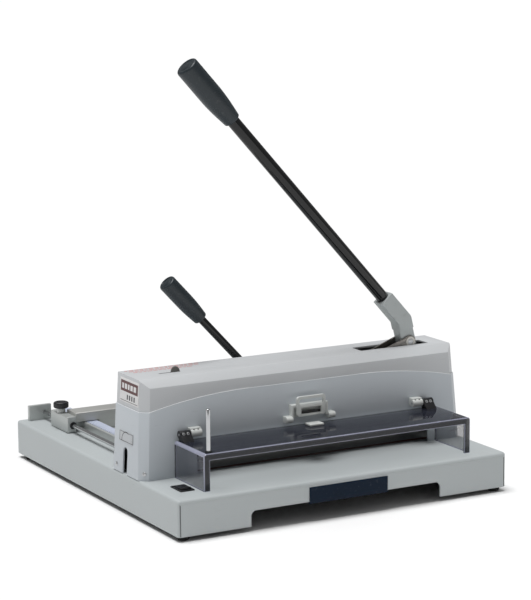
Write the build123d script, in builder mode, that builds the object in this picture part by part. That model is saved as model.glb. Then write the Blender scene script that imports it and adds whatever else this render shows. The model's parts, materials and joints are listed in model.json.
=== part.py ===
"""Guillotine stack cutter: table base, covered cutting head, hand levers, guard and paper gauges.

Millimetres. X runs along the front edge to the right, Y to the back, Z up. The origin is at the
centre of the outline on the plane that the feet stand on.
"""

import os
from math import atan2, cos, degrees, hypot, radians, sin, tan

from build123d import *

os.makedirs("parts", exist_ok=True)

# ---------------------------------------------------------------- driving sizes
# Base
BASE_W = 610.0            # width of the table
BASE_D = 634.0            # depth of the table
BASE_H = 58.8             # height of the skirts with the table top
BASE_WALL = 3.0
BASE_EDGE_R = 6.0         # rounded rim of the table top
BASE_CORNER_R = 5.0
FOOT_D = 21.0
FOOT_H = 8.0
FOOT_INSET = 15.0         # foot centre to skirt face, front feet
FOOT_REAR_INSET = 27.0    # foot centre to rear skirt face
CUTOUT_LEFT = 128.0       # arch in the front skirt, from the left side
CUTOUT_W = 352.0
CUTOUT_H = 25.5
CUTOUT_R = 9.0
GRIP_LEFT = 233.0         # carrying grip on the front skirt
GRIP_W = 145.5
GRIP_H = 26.9
GRIP_BOTTOM = 22.3
GRIP_PROUD = 2.0
PAN_H = 28.0              # underside pan above the skirt's lower edge
PAN_T = 1.5

# Cutting head
HEAD_SETBACK = 129.6      # base front to head front, at the table
HEAD_DEPTH = 104.4
HEAD_TALL = 159.9         # head top above the table
HEAD_END_GAP = 1.0
HEAD_DRAFT = 3.4          # degrees, on the front and the ends
HEAD_CORNER_CUT = 12.9
HEAD_WALL = 3.0
HEAD_LEDGE = 1.2          # lower housing stands out this far under the upper cover
BEVEL_DOWN = 12.5         # long bevel along the top front edge
BEVEL_BACK = 15.7
SEAM_END_H = 109.5        # seam above the table at the corners
SEAM_MID_H = 129.7        # seam above the table in the middle
SEAM_CORNER = 20.0        # seam arcs start this far from the base's sides
SEAM_RISE_END = 200.0     # seam arcs end this far from the base's sides
THROAT_W = 439.0
THROAT_H = 40.0
THROAT_RIGHT = 70.2       # base's right side to the throat's right edge
END_SLOT_W = 15.7
END_SLOT_H = 43.9         # from the table up
END_SLOT_BACK = 62.6      # head front to slot centre

# Lever drive
PIVOT_FROM_RIGHT = 58.4   # main axle, from the base's right side
PIVOT_H = 86.2            # main axle above the table
LEVER_BACK = 58.9         # head front to lever plane
AXLE_D = 18.0
BUSH_T = 3.0
RUN_GAP = 0.05            # radial running clearance of shafts
ARM_W = 26.6              # arm casting, across its outline
ARM_T = 28.0              # arm casting, socket end, front to back
ARM_FOOT_T = 22.0         # arm casting between the link plates
LINK_PIN_RISE = 5.3       # link pin above the head top
LINK_PIN_LEAN = 19.1      # link pin left of the main axle
LINK_PIN_D = 10.0
LINK_T = 3.0
LINK_GAP = 0.3            # arm foot to each link plate
LINK_W = 21.0
LINK_LEN = 135.0
LINK_SLOPE = 20.3         # degrees below level, at rest
ELBOW_RISE = 43.3         # elbow centre above the head top
ELBOW_LEAN = 29.6         # elbow centre left of the main axle
TUBE_SLOPE = 48.0         # degrees above level, at rest
SOCKET_LEN = 54.0
TUBE_D = 21.0
TUBE_WALL = 2.5
TUBE_SEAT = 40.0          # tube length inside the socket
TUBE_FREE = 425.0         # tube between socket and grip
GRIP_D = 38.0
GRIP_LEN = 122.0
GRIP_NECK_D = 27.0
GRIP_HOLD = 80.0          # tube length inside the grip
SLOT_RIGHT = 42.0          # base's right side to the lever slot in the cover
SLOT_W = 134.0
SLOT_D = 31.0

# Blade carrier
CUT_TRAVEL = 41.9         # drop of the blade
CUT_SHIFT = 31.4          # sideways draw of the blade over the same travel
CARRIER_GAP = 13.9        # head front to carrier front, at the table
CARRIER_T = 8.0
CARRIER_W = 450.0
CARRIER_LOW = 65.5        # carrier's lower edge above the table
CARRIER_DOWN = 27.9       # carrier's upper edge below the head top
BLADE_T = 5.0
BLADE_LOW = 42.2          # cutting edge above the table, at rest
BLADE_H = 49.0
BLADE_MARGIN = 5.0        # blade reach past the throat's left end at the end of the cut
BLADE_END = 1.0           # and past its right end
BEVEL_H = 9.0             # ground bevel of the blade
BEAM_GAP = 0.5            # blade to guide beam
BEAM_T = 11.0
BEAM_LOW = 57.2
BEAM_DOWN = 18.9          # beams' upper edge below the head top
GUIDE_W = 18.0
GUIDE_H = 119.2
GUIDE_GAP = 0.3

# Clamp
CLAMP_GAP = 13.0          # clamp bar above the table, at rest
CLAMP_T = 16.0
CLAMP_BACK_GAP = 2.0
CRANK_R = 55.0
CRANK_SAG = 6.0           # degrees below level, at rest
CLAMP_SHAFT_D = 12.0
CLAMP_SHAFT_H = 70.2      # shaft above the table
CLAMP_SHAFT_LEFT = 321.0  # shaft from the base's left side
CLAMP_SLOPE = 46.9        # degrees above level, at rest
CLAMP_ROD_D = 13.5
CLAMP_ROD_LEN = 216.0
CLAMP_GRIP_D = 29.6
CLAMP_GRIP_LEN = 90.0
CLAMP_GRIP_NECK_D = 24.0
CLAMP_GRIP_HOLD = 60.0
CLAMP_HUB_BACK = 11.0     # head back to clamp lever hub
CLAMP_HUB_T = 18.0
GUIDE_ROD_D = 8.0

# Guard
GUARD_LEFT = 58.4
GUARD_W = 496.5
GUARD_FRONT = 24.7
GUARD_H = 61.0
GUARD_WALL = 4.0
GUARD_LIP = 11.0
GUARD_REAR_GAP = 2.6      # guard's rear edge to the head front
HINGE_H = 70.7            # guard hinge axis above the table
HINGE_OUT = 9.2           # guard hinge axis in front of the head
HINGE_R = 6.2
HINGE_PIN_D = 4.0
HINGE_W = 20.0            # each half of a hinge
HINGE_INSET = 7.2         # guard's side to its hinge
LIFT_ROD_D = 7.0
LIFT_ROD_H = 70.0
LIFT_ROD_IN = 12.6
LIFT_ROD_BACK = 8.0

# Gauges
ROD_LEFT = 46.0
ROD_H = 13.0
ROD_D = 7.5
LAY_LEFT = 68.0
LAY_W = 27.0
LAY_H = 16.0
LAY_END = 612.0
BAR_FRONT = 494.0
BAR_D = 38.0
BAR_W = 481.0
BAR_H = 33.0
BLOCK_W = 17.0
BLOCK_D = 72.0
BLOCK_H = 27.0
KNOB_D = 26.5
KNOB_H = 10.5
KNOB_BACK = 45.0          # gauge block's front to the knob

# ---------------------------------------------------------------- stations
LEFT = -BASE_W / 2
RIGHT = BASE_W / 2
FRONT = -(BASE_D - GRIP_PROUD) / 2
BACK = FRONT + BASE_D
UNDER = FOOT_H
TABLE = FOOT_H + BASE_H

HEAD_LEFT = LEFT + HEAD_END_GAP
HEAD_RIGHT = RIGHT - HEAD_END_GAP
HEAD_FRONT = FRONT + HEAD_SETBACK
HEAD_BACK = HEAD_FRONT + HEAD_DEPTH
HEAD_TOP = TABLE + HEAD_TALL
HEAD_LEAN = tan(radians(HEAD_DRAFT))

THROAT_X1 = RIGHT - THROAT_RIGHT
THROAT_X0 = THROAT_X1 - THROAT_W
THROAT_MID = (THROAT_X0 + THROAT_X1) / 2

PIVOT_X = RIGHT - PIVOT_FROM_RIGHT
PIVOT_Z = TABLE + PIVOT_H
LEVER_Y = HEAD_FRONT + LEVER_BACK
PIN_X = PIVOT_X - LINK_PIN_LEAN
PIN_Z = HEAD_TOP + LINK_PIN_RISE
ELBOW_X = PIVOT_X - ELBOW_LEAN
ELBOW_Z = HEAD_TOP + ELBOW_RISE

CARRIER_Y0 = HEAD_FRONT + CARRIER_GAP
CARRIER_Y1 = CARRIER_Y0 + CARRIER_T
BLADE_Y1 = CARRIER_Y1 + BLADE_T
BEAM_Y0 = BLADE_Y1 + BEAM_GAP
BEAM_Y1 = BEAM_Y0 + BEAM_T
REAR_T = 11.0             # rear beam
REAR_Y1 = HEAD_BACK - HEAD_LEDGE - HEAD_WALL - 1.0
REAR_Y0 = REAR_Y1 - REAR_T

FRAME_T = 12.0            # side frames
FRAME_IN = 16.0           # side frame's outer face to the base's side
FRAME_X0 = LEFT + FRAME_IN
FRAME_X1 = RIGHT - FRAME_IN
FRAME_TOP = HEAD_TOP - BEAM_DOWN

foot_front = LEVER_Y - ARM_FOOT_T / 2
foot_back = LEVER_Y + ARM_FOOT_T / 2
link_front = foot_front - LINK_GAP - LINK_T
link_back = foot_back + LINK_GAP + LINK_T

FAR_X = PIN_X - LINK_LEN * cos(radians(LINK_SLOPE))
FAR_Z = PIN_Z - LINK_LEN * sin(radians(LINK_SLOPE))

SHAFT_X = LEFT + CLAMP_SHAFT_LEFT
SHAFT_Z = TABLE + CLAMP_SHAFT_H

HINGE_Y = HEAD_FRONT - HINGE_OUT + HINGE_H * HEAD_LEAN
HINGE_Z = TABLE + HINGE_H
GUARD_X0 = LEFT + GUARD_LEFT
GUARD_X1 = GUARD_X0 + GUARD_W
GUARD_Y0 = FRONT + GUARD_FRONT
GUARD_Y1 = HEAD_FRONT - GUARD_REAR_GAP
GUARD_TOP = TABLE + GUARD_H
GUARD_MID = (GUARD_X0 + GUARD_X1) / 2

ROD_X = LEFT + ROD_LEFT
ROD_Z = TABLE + ROD_H
LAY_X0 = LEFT + LAY_LEFT
BAR_Y0 = FRONT + BAR_FRONT


def save(builder, name):
    """Label a finished piece and write its STEP file."""
    builder.part.label = name
    export_step(builder.part, f"parts/{name}.step")


def slab(x0, x1, y0, y1, z0, z1):
    """Rectangular block between two corners."""
    with BuildPart() as block:
        with Locations(((x0 + x1) / 2, (y0 + y1) / 2, (z0 + z1) / 2)):
            Box(x1 - x0, y1 - y0, z1 - z0)
    return block.part


def rod_y(x, z, y0, y1, diameter):
    """Round bar along Y."""
    with BuildPart() as bar:
        with BuildSketch(Plane(origin=(x, y0, z), z_dir=(0, 1, 0))):
            Circle(diameter / 2)
        extrude(amount=y1 - y0)
    return bar.part


def rod_x(y, z, x0, x1, diameter):
    """Round bar along X."""
    with BuildPart() as bar:
        with BuildSketch(Plane(origin=(x0, y, z), z_dir=(1, 0, 0))):
            Circle(diameter / 2)
        extrude(amount=x1 - x0)
    return bar.part


def rod_z(x, y, z0, z1, diameter):
    """Round bar along Z."""
    with BuildPart() as bar:
        with BuildSketch(Plane.XY.offset(z0)):
            with Locations((x, y)):
                Circle(diameter / 2)
        extrude(amount=z1 - z0)
    return bar.part


def slot_plate(x0, z0, x1, z1, width, y0, y1):
    """Round-ended bar between two points of the XZ plane, from y0 to y1."""
    with BuildPart() as bar:
        length = hypot(x1 - x0, z1 - z0)
        turn = degrees(atan2(z1 - z0, x1 - x0))
        middle = ((x0 + x1) / 2, y1, (z0 + z1) / 2)
        with BuildSketch(Plane(origin=middle, x_dir=(1, 0, 0), z_dir=(0, -1, 0))):
            SlotCenterToCenter(length, width, rotation=turn)
        extrude(amount=y1 - y0)
    return bar.part


def head_block(inset, low, high):
    """Solid form of the head between two heights above the table, drawn in by an inset."""
    with BuildPart() as block:
        for height in (low, high):
            lean = height * HEAD_LEAN
            x0 = HEAD_LEFT + inset + lean
            x1 = HEAD_RIGHT - inset - lean
            y0 = HEAD_FRONT + inset + lean
            y1 = HEAD_BACK - inset
            with BuildSketch(Plane.XY.offset(TABLE + height)):
                with BuildLine():
                    Polyline(
                        (x0 + HEAD_CORNER_CUT, y0),
                        (x1 - HEAD_CORNER_CUT, y0),
                        (x1, y0 + HEAD_CORNER_CUT),
                        (x1, y1),
                        (x0, y1),
                        (x0, y0 + HEAD_CORNER_CUT),
                        close=True,
                    )
                make_face()
        loft(ruled=True)
    return block.part


def top_bevel(inset):
    """Wedge that bevels the head's top front edge, moved in with the inset."""
    over = 20.0
    foot_h = HEAD_TALL - BEVEL_DOWN - inset
    foot_y = HEAD_FRONT + HEAD_LEDGE + foot_h * HEAD_LEAN + inset
    top_y = foot_y + BEVEL_BACK
    top_z = HEAD_TOP - inset
    slope = BEVEL_DOWN / BEVEL_BACK
    with BuildPart() as wedge:
        with BuildSketch(Plane.YZ.offset(LEFT - over)):
            with BuildLine():
                Polyline(
                    (foot_y - over, top_z - BEVEL_DOWN - over * slope),
                    (top_y + over, top_z + over * slope),
                    (foot_y - over, top_z + over * slope),
                    close=True,
                )
            make_face()
        extrude(amount=BASE_W + 2 * over)
    return wedge.part


def above_seam():
    """Everything above the seam between the two covers of the head."""
    over = 20.0
    end_z = TABLE + SEAM_END_H
    mid_z = TABLE + SEAM_MID_H
    roof = HEAD_TOP + over
    with BuildPart() as region:
        with BuildSketch(Plane.XZ.offset(-BACK)):
            with BuildLine():
                flat = Line((LEFT + SEAM_RISE_END, mid_z), (RIGHT - SEAM_RISE_END, mid_z))
                right = TangentArc(flat @ 1, (RIGHT - SEAM_CORNER, end_z), tangent=(1, 0))
                left = TangentArc(flat @ 0, (LEFT + SEAM_CORNER, end_z), tangent=(-1, 0))
                Polyline(
                    right @ 1,
                    (RIGHT + over, end_z),
                    (RIGHT + over, roof),
                    (LEFT - over, roof),
                    (LEFT - over, end_z),
                    left @ 1,
                )
            make_face()
        extrude(amount=BASE_D)
    return region.part


def throat_cut():
    """Paper opening right through the head's front and back walls."""
    with BuildPart() as tunnel:
        with BuildSketch(Plane.XZ.offset(-BACK)):
            with Locations((THROAT_MID, TABLE)):
                Rectangle(THROAT_W, 2 * THROAT_H)
        extrude(amount=BASE_D)
    return tunnel.part


# ---------------------------------------------------------------- base
outer_tub = slab(LEFT, RIGHT, FRONT, BACK, UNDER, TABLE)
inner_tub = slab(
    LEFT + BASE_WALL, RIGHT - BASE_WALL, FRONT + BASE_WALL, BACK - BASE_WALL, UNDER - 1, TABLE - BASE_WALL
)
PANEL_TOP = TABLE - BASE_EDGE_R - 1.0
panel_room = slab(
    LEFT + BASE_WALL, RIGHT - BASE_WALL, FRONT - 1, FRONT + BASE_WALL + 1, UNDER - 1, PANEL_TOP
)

SWITCH_X = LEFT + 40.0
SWITCH_Y = FRONT + 63.0
SWITCH_W = 20.0
SWITCH_D = 32.0
SWITCH_DEEP = 14.0
SWITCH_WALL = 1.2
STICK_W = 10.0
STICK_DEEP = 8.0
STICK_Y = BLADE_Y1 - STICK_W / 2 + 1.0
STICK_X0 = LEFT + 60.0
STICK_X1 = RIGHT - 40.0
BRACE_H = 14.0            # channels under the table that carry the side frames

with BuildPart() as base_shell:
    add(outer_tub)
    corners = base_shell.edges().filter_by(Axis.Z)
    fillet(corners, BASE_CORNER_R)
    rim = base_shell.faces().sort_by(Axis.Z)[-1].edges()
    fillet(rim, BASE_EDGE_R - 1.0)
    add(inner_tub, mode=Mode.SUBTRACT)
    add(panel_room, mode=Mode.SUBTRACT)
    add(
        slab(STICK_X0, STICK_X1, STICK_Y - STICK_W / 2, STICK_Y + STICK_W / 2, TABLE - 50, TABLE + 1),
        mode=Mode.SUBTRACT,
    )
    with Locations((SWITCH_X, SWITCH_Y, TABLE)):
        Box(SWITCH_W, SWITCH_D, 3 * BASE_WALL, mode=Mode.SUBTRACT)
save(base_shell, "base_shell")

with BuildPart() as panel:
    panel_gap = 0.4
    add(slab(
        LEFT + BASE_WALL + panel_gap, RIGHT - BASE_WALL - panel_gap,
        FRONT, FRONT + BASE_WALL, UNDER, PANEL_TOP,
    ))
    with BuildSketch(Plane.XZ.offset(-FRONT - BASE_WALL - 1)):
        with Locations((LEFT + CUTOUT_LEFT + CUTOUT_W / 2, UNDER)):
            RectangleRounded(CUTOUT_W, 2 * CUTOUT_H, CUTOUT_R)
    extrude(amount=BASE_WALL + 2, mode=Mode.SUBTRACT)
# The front panel is a strip over the arch between two corner pieces.
arch_x0 = LEFT + CUTOUT_LEFT
over_arch = slab(arch_x0, arch_x0 + CUTOUT_W, FRONT - 1, FRONT + BASE_WALL + 1, UNDER - 1, TABLE)
with BuildPart() as front_panel:
    add(panel.part)
    add(over_arch, mode=Mode.SUBTRACT)
save(front_panel, "front_panel")

with BuildPart() as arch_strip:
    add(panel.part)
    add(over_arch, mode=Mode.INTERSECT)
save(arch_strip, "arch_strip")

grip_x0 = LEFT + GRIP_LEFT
grip_z0 = UNDER + GRIP_BOTTOM
with BuildPart() as front_grip:
    add(slab(grip_x0, grip_x0 + GRIP_W, FRONT - GRIP_PROUD, FRONT, grip_z0, grip_z0 + GRIP_H))
    face_edges = front_grip.faces().sort_by(Axis.Y)[0].edges()
    fillet(face_edges, 1.5)
    under_lip = UNDER + CUTOUT_H - grip_z0
    add(slab(
        grip_x0, grip_x0 + GRIP_W, FRONT, FRONT + BASE_WALL + 5, grip_z0, grip_z0 + under_lip
    ))
save(front_grip, "front_grip")

PAN_GAP = 0.5
with BuildPart() as bottom_pan:
    pan_x0 = LEFT + BASE_WALL + PAN_GAP
    pan_x1 = RIGHT - BASE_WALL - PAN_GAP
    pan_y0 = FRONT + BASE_WALL + 6
    pan_y1 = BACK - BASE_WALL - PAN_GAP
    pan_z1 = UNDER + PAN_H + PAN_T
    add(slab(pan_x0, pan_x1, pan_y0, pan_y1, UNDER + PAN_H, pan_z1))
    rim_h = TABLE - BASE_WALL - pan_z1
    with Locations((0, (pan_y0 + pan_y1) / 2, pan_z1 + rim_h / 2)):
        Box(pan_x1 - pan_x0, pan_y1 - pan_y0, rim_h)
        Box(pan_x1 - pan_x0 - 3, pan_y1 - pan_y0 - 3, rim_h, mode=Mode.SUBTRACT)
save(bottom_pan, "bottom_pan")

foot_spots = [
    (x, y)
    for x in (LEFT + FOOT_INSET, RIGHT - FOOT_INSET)
    for y in (FRONT + FOOT_INSET, BACK - FOOT_REAR_INSET)
]
with BuildPart() as feet:
    with Locations(*[(x, y, FOOT_H / 2) for x, y in foot_spots]):
        Cylinder(FOOT_D / 2, FOOT_H)
    low_rims = feet.edges().filter_by(GeomType.CIRCLE).group_by(Axis.Z)[0]
    chamfer(low_rims, 1.0)
save(feet, "feet")

with BuildPart() as foot_brackets:
    with Locations(*[(x, y, UNDER + PAN_H / 2) for x, y in foot_spots]):
        Cylinder(FOOT_D / 2 - 1.5, PAN_H)
save(foot_brackets, "foot_brackets")

with BuildPart() as cutting_stick:
    add(slab(
        STICK_X0 + 0.3, STICK_X1 - 0.3, STICK_Y - STICK_W / 2 + 0.2, STICK_Y + STICK_W / 2 - 0.2,
        TABLE - STICK_DEEP, TABLE,
    ))
save(cutting_stick, "cutting_stick")

# Channels under the table: one for the cutting stick, two that carry the side frames
CHANNEL_WALL = 1.5
channel_low = TABLE - STICK_DEEP - CHANNEL_WALL
channel_y0 = STICK_Y - STICK_W / 2 - CHANNEL_WALL
channel_y1 = STICK_Y + STICK_W / 2 + CHANNEL_WALL
brace_low = TABLE - BASE_WALL - BRACE_H
BOLT_D = 13.0
BOLT_H = 3.0
BOLT_IN = 14.0            # frame bolts, in from the side frames' front and back
with BuildPart() as table_channels:
    add(slab(STICK_X0, STICK_X1, channel_y0, channel_y1, channel_low, TABLE - BASE_WALL))
    add(
        slab(
            STICK_X0 - 1, STICK_X1 + 1, STICK_Y - STICK_W / 2, STICK_Y + STICK_W / 2,
            channel_low + CHANNEL_WALL, TABLE,
        ),
        mode=Mode.SUBTRACT,
    )
    for x0 in (FRAME_X0 - 4, FRAME_X1 - FRAME_T - 4):
        add(slab(
            x0, x0 + FRAME_T + 8, HEAD_FRONT + 4, HEAD_BACK - 4, brace_low, TABLE - BASE_WALL
        ))
        for y in (BEAM_Y0 + BOLT_IN, REAR_Y1 - BOLT_IN):
            add(rod_z(x0 + 4 + FRAME_T / 2, y, brace_low - BOLT_H, brace_low, BOLT_D))
save(table_channels, "table_channels")

# ---------------------------------------------------------------- head covers
seam_upper = above_seam()
throat = throat_cut()
end_slot_y = HEAD_FRONT + END_SLOT_BACK


def end_slot_cut(x0, x1):
    """Upright round-topped slot in the left end."""
    with BuildPart() as cut:
        with BuildSketch(Plane.YZ.offset(x0)):
            straight = END_SLOT_H - END_SLOT_W / 2
            with Locations((end_slot_y, TABLE)):
                Rectangle(END_SLOT_W, 2 * straight)
            with Locations((end_slot_y, TABLE + straight)):
                Circle(END_SLOT_W / 2)
        extrude(amount=x1 - x0)
    return cut.part


REAR_WINDOW_IN = 30.0
REAR_WINDOW_LOW = THROAT_H + 8.0
REAR_WINDOW_HIGH = SEAM_END_H - 6.0

lower_outer = head_block(0, 0, SEAM_MID_H + 10)
lower_inner = head_block(HEAD_WALL, -1, SEAM_MID_H + 11)
with BuildPart() as housing:
    add(lower_outer)
    add(lower_inner, mode=Mode.SUBTRACT)
    add(seam_upper, mode=Mode.SUBTRACT)
    add(throat, mode=Mode.SUBTRACT)
    add(end_slot_cut(LEFT - 5, LEFT + 14), mode=Mode.SUBTRACT)
    add(
        slab(
            LEFT + REAR_WINDOW_IN, RIGHT - REAR_WINDOW_IN, HEAD_BACK - 10, HEAD_BACK + 5,
            TABLE + REAR_WINDOW_LOW, TABLE + REAR_WINDOW_HIGH,
        ),
        mode=Mode.SUBTRACT,
    )
# The housing is a strip over the throat between two corner pieces.
over_throat = slab(THROAT_X0, THROAT_X1, FRONT, BACK, UNDER, HEAD_TOP)
with BuildPart() as lower_housing:
    add(housing.part)
    add(over_throat, mode=Mode.INTERSECT)
save(lower_housing, "lower_housing")

with BuildPart() as housing_ends:
    add(housing.part)
    add(over_throat, mode=Mode.SUBTRACT)
save(housing_ends, "housing_ends")

SLOT_X1 = RIGHT - SLOT_RIGHT
SLOT_X0 = SLOT_X1 - SLOT_W
LOCK_SLOT_LEFT = 61.0
LOCK_SLOT_LEN = 39.0
LOCK_SLOT_W = 4.4
LOCK_SLOT_BACK = 54.4     # head front to lock slot centre
lock_y = HEAD_FRONT + LOCK_SLOT_BACK
lock_x0 = LEFT + LOCK_SLOT_LEFT

upper_outer = head_block(HEAD_LEDGE, SEAM_END_H - 10, HEAD_TALL)
upper_inner = head_block(HEAD_LEDGE + HEAD_WALL, SEAM_END_H - 11, HEAD_TALL - HEAD_WALL)
with BuildPart() as cover_core:
    add(upper_inner)
    add(top_bevel(HEAD_WALL), mode=Mode.SUBTRACT)
with BuildPart() as upper_cover:
    add(upper_outer)
    add(top_bevel(0), mode=Mode.SUBTRACT)
    add(cover_core.part, mode=Mode.SUBTRACT)
    add(seam_upper, mode=Mode.INTERSECT)
    with BuildSketch(Plane.XY.offset(HEAD_TOP - HEAD_WALL - 1)):
        with Locations(((SLOT_X0 + SLOT_X1) / 2, LEVER_Y)):
            RectangleRounded(SLOT_W, SLOT_D, 3)
        with Locations((lock_x0 + LOCK_SLOT_LEN / 2, lock_y)):
            Rectangle(LOCK_SLOT_LEN, LOCK_SLOT_W)
    extrude(amount=HEAD_WALL + 2, mode=Mode.SUBTRACT)
save(upper_cover, "upper_cover")

REAR_COVER_LAP = 8.0
REAR_COVER_T = 2.0
rear_cover_x0 = LEFT + REAR_WINDOW_IN - REAR_COVER_LAP
rear_cover_x1 = RIGHT - REAR_WINDOW_IN + REAR_COVER_LAP
rear_cover_z0 = TABLE + REAR_WINDOW_LOW - REAR_COVER_LAP / 2
rear_cover_z1 = TABLE + REAR_WINDOW_HIGH + REAR_COVER_LAP / 2
SHAFT_HOLE_D = CLAMP_SHAFT_D + 6.0
with BuildPart() as rear_cover:
    add(slab(
        rear_cover_x0, rear_cover_x1, HEAD_BACK, HEAD_BACK + REAR_COVER_T, rear_cover_z0, rear_cover_z1
    ))
    add(
        rod_y(SHAFT_X, SHAFT_Z, HEAD_BACK - 1, HEAD_BACK + REAR_COVER_T + 1, SHAFT_HOLE_D),
        mode=Mode.SUBTRACT,
    )
save(rear_cover, "rear_cover")

SCREW_D = 7.0
# Labels on the left end follow its lean
end_plane = Plane(
    origin=(HEAD_LEFT, HEAD_FRONT, TABLE),
    x_dir=(0, -1, 0),
    z_dir=(-cos(radians(HEAD_DRAFT)), 0, sin(radians(HEAD_DRAFT))),
)
LABEL_T = 0.8
LABEL_W = 68.0
LABEL_H = 38.5
LABEL_BACK = 57.0         # head front to label centre
LABEL_MID_H = 135.5       # label centre above the table, along the end face
SIGN_W = 50.0
SIGN_H = 17.5
SIGN_BACK = 60.0
SIGN_MID_H = 61.0
with BuildPart() as end_labels:
    with BuildSketch(end_plane.offset(-HEAD_LEDGE * cos(radians(HEAD_DRAFT)))):
        with Locations((-LABEL_BACK, LABEL_MID_H)):
            RectangleRounded(LABEL_W, LABEL_H, 1)
    extrude(amount=LABEL_T)
    with BuildSketch(end_plane):
        with Locations((-SIGN_BACK, SIGN_MID_H)):
            RectangleRounded(SIGN_W, SIGN_H, 1)
    extrude(amount=LABEL_T)
save(end_labels, "end_labels")

COVER_SCREW_H = 11.0      # above the table
COVER_SCREW_OUT = 1.2
CORNER_SCREW_SHARE = 0.58  # place across the corner bevel, from the end wall to the front
with BuildPart() as cover_screws:
    for side, wall in ((-1, HEAD_LEFT), (1, HEAD_RIGHT)):
        lean = COVER_SCREW_H * HEAD_LEAN
        corner_plane = Plane(
            origin=(
                wall - side * (HEAD_CORNER_CUT * CORNER_SCREW_SHARE + lean),
                HEAD_FRONT + HEAD_CORNER_CUT * (1 - CORNER_SCREW_SHARE) + lean,
                TABLE + COVER_SCREW_H,
            ),
            x_dir=(1, side, 0),
            z_dir=(side, -1, 2 * HEAD_LEAN),
        )
        with BuildSketch(corner_plane):
            Circle(SCREW_D / 2)
        extrude(amount=COVER_SCREW_OUT)
        wall_plane = Plane(
            origin=(wall, HEAD_FRONT, TABLE),
            x_dir=(0, side, 0),
            z_dir=(side * cos(radians(HEAD_DRAFT)), 0, sin(radians(HEAD_DRAFT))),
        )
        with BuildSketch(wall_plane):
            with Locations((side * (HEAD_DEPTH - 12), COVER_SCREW_H)):
                Circle(SCREW_D / 2)
        extrude(amount=COVER_SCREW_OUT)
    screw_step = (rear_cover_x1 - rear_cover_x0 - 2 * REAR_COVER_LAP) / 3
    for column in range(4):
        for z in (rear_cover_z0 + 3.8, rear_cover_z1 - 3.8):
            x = rear_cover_x0 + REAR_COVER_LAP + column * screw_step
            y = HEAD_BACK + REAR_COVER_T
            add(rod_y(x, z, y, y + COVER_SCREW_OUT, SCREW_D))
save(cover_screws, "cover_screws")

# ---------------------------------------------------------------- inner frame
with BuildPart() as side_frames:
    add(slab(FRAME_X0, FRAME_X0 + FRAME_T, BEAM_Y0, REAR_Y1, TABLE, FRAME_TOP))
    add(end_slot_cut(FRAME_X0 - 1, FRAME_X0 + FRAME_T + 1), mode=Mode.SUBTRACT)
    add(slab(FRAME_X1 - FRAME_T, FRAME_X1, BEAM_Y0, REAR_Y1, TABLE, FRAME_TOP))
save(side_frames, "side_frames")

beam_x0 = FRAME_X0 + FRAME_T
beam_x1 = FRAME_X1 - FRAME_T
bush_d = AXLE_D + 2 * RUN_GAP + 2 * BUSH_T
guide_spots = (THROAT_X0 + 90, THROAT_X1 - 60)
guide_z = TABLE + GUIDE_H
with BuildPart() as guide_beam:
    add(slab(beam_x0, beam_x1, BEAM_Y0, BEAM_Y1, TABLE + BEAM_LOW, FRAME_TOP))
    for x in guide_spots:
        add(
            slot_plate(
                x, guide_z, x - CUT_SHIFT, guide_z - CUT_TRAVEL,
                GUIDE_W + 2 * GUIDE_GAP, BEAM_Y0 - 1, BEAM_Y1 + 1,
            ),
            mode=Mode.SUBTRACT,
        )
    add(
        slot_plate(
            FAR_X, FAR_Z, FAR_X - CUT_SHIFT, FAR_Z - CUT_TRAVEL,
            LINK_W + 5, BEAM_Y0 - 1, BEAM_Y1 + 1,
        ),
        mode=Mode.SUBTRACT,
    )
    add(rod_y(PIVOT_X, PIVOT_Z, BEAM_Y0 - 1, BEAM_Y1 + 1, bush_d), mode=Mode.SUBTRACT)
save(guide_beam, "guide_beam")

rod_bore = GUIDE_ROD_D + 2 * RUN_GAP
shaft_bush_d = CLAMP_SHAFT_D + 2 * RUN_GAP + 2 * BUSH_T
with BuildPart() as rear_beam:
    add(slab(beam_x0, beam_x1, REAR_Y0, REAR_Y1, TABLE + BEAM_LOW, FRAME_TOP))
    add(rod_y(PIVOT_X, PIVOT_Z, REAR_Y0 - 1, REAR_Y1 + 1, bush_d), mode=Mode.SUBTRACT)
    add(rod_y(SHAFT_X, SHAFT_Z, REAR_Y0 - 1, REAR_Y1 + 1, shaft_bush_d), mode=Mode.SUBTRACT)
save(rear_beam, "rear_beam")

with BuildPart() as shaft_bushes:
    for x, z, y0, y1, outside, shaft in (
        (PIVOT_X, PIVOT_Z, BEAM_Y0, BEAM_Y1, bush_d, AXLE_D),
        (PIVOT_X, PIVOT_Z, REAR_Y0, REAR_Y1, bush_d, AXLE_D),
        (SHAFT_X, SHAFT_Z, REAR_Y0, REAR_Y1, shaft_bush_d, CLAMP_SHAFT_D),
    ):
        add(rod_y(x, z, y0, y1, outside))
        add(rod_y(x, z, y0 - 1, y1 + 1, shaft + 2 * RUN_GAP), mode=Mode.SUBTRACT)
save(shaft_bushes, "shaft_bushes")

# Torsion spring round the main axle, behind the arm
SPRING_WIRE = 2.6
SPRING_D = AXLE_D + 14.0
SPRING_TURNS = 3
spring_y0 = link_back + 1.0
spring_pitch = (REAR_Y0 - 0.4 - spring_y0) / SPRING_TURNS
with BuildPart() as lever_spring:
    for turn in range(SPRING_TURNS):
        y = spring_y0 + (turn + 0.5) * spring_pitch
        with BuildSketch(Plane(origin=(PIVOT_X, y, PIVOT_Z), x_dir=(1, 0, 0), z_dir=(0, 0, 1))):
            with Locations((SPRING_D / 2, 0)):
                Circle(SPRING_WIRE / 2)
        revolve(axis=Axis((PIVOT_X, y, PIVOT_Z), (0, 1, 0)), revolution_arc=360)
save(lever_spring, "lever_spring")

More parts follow.
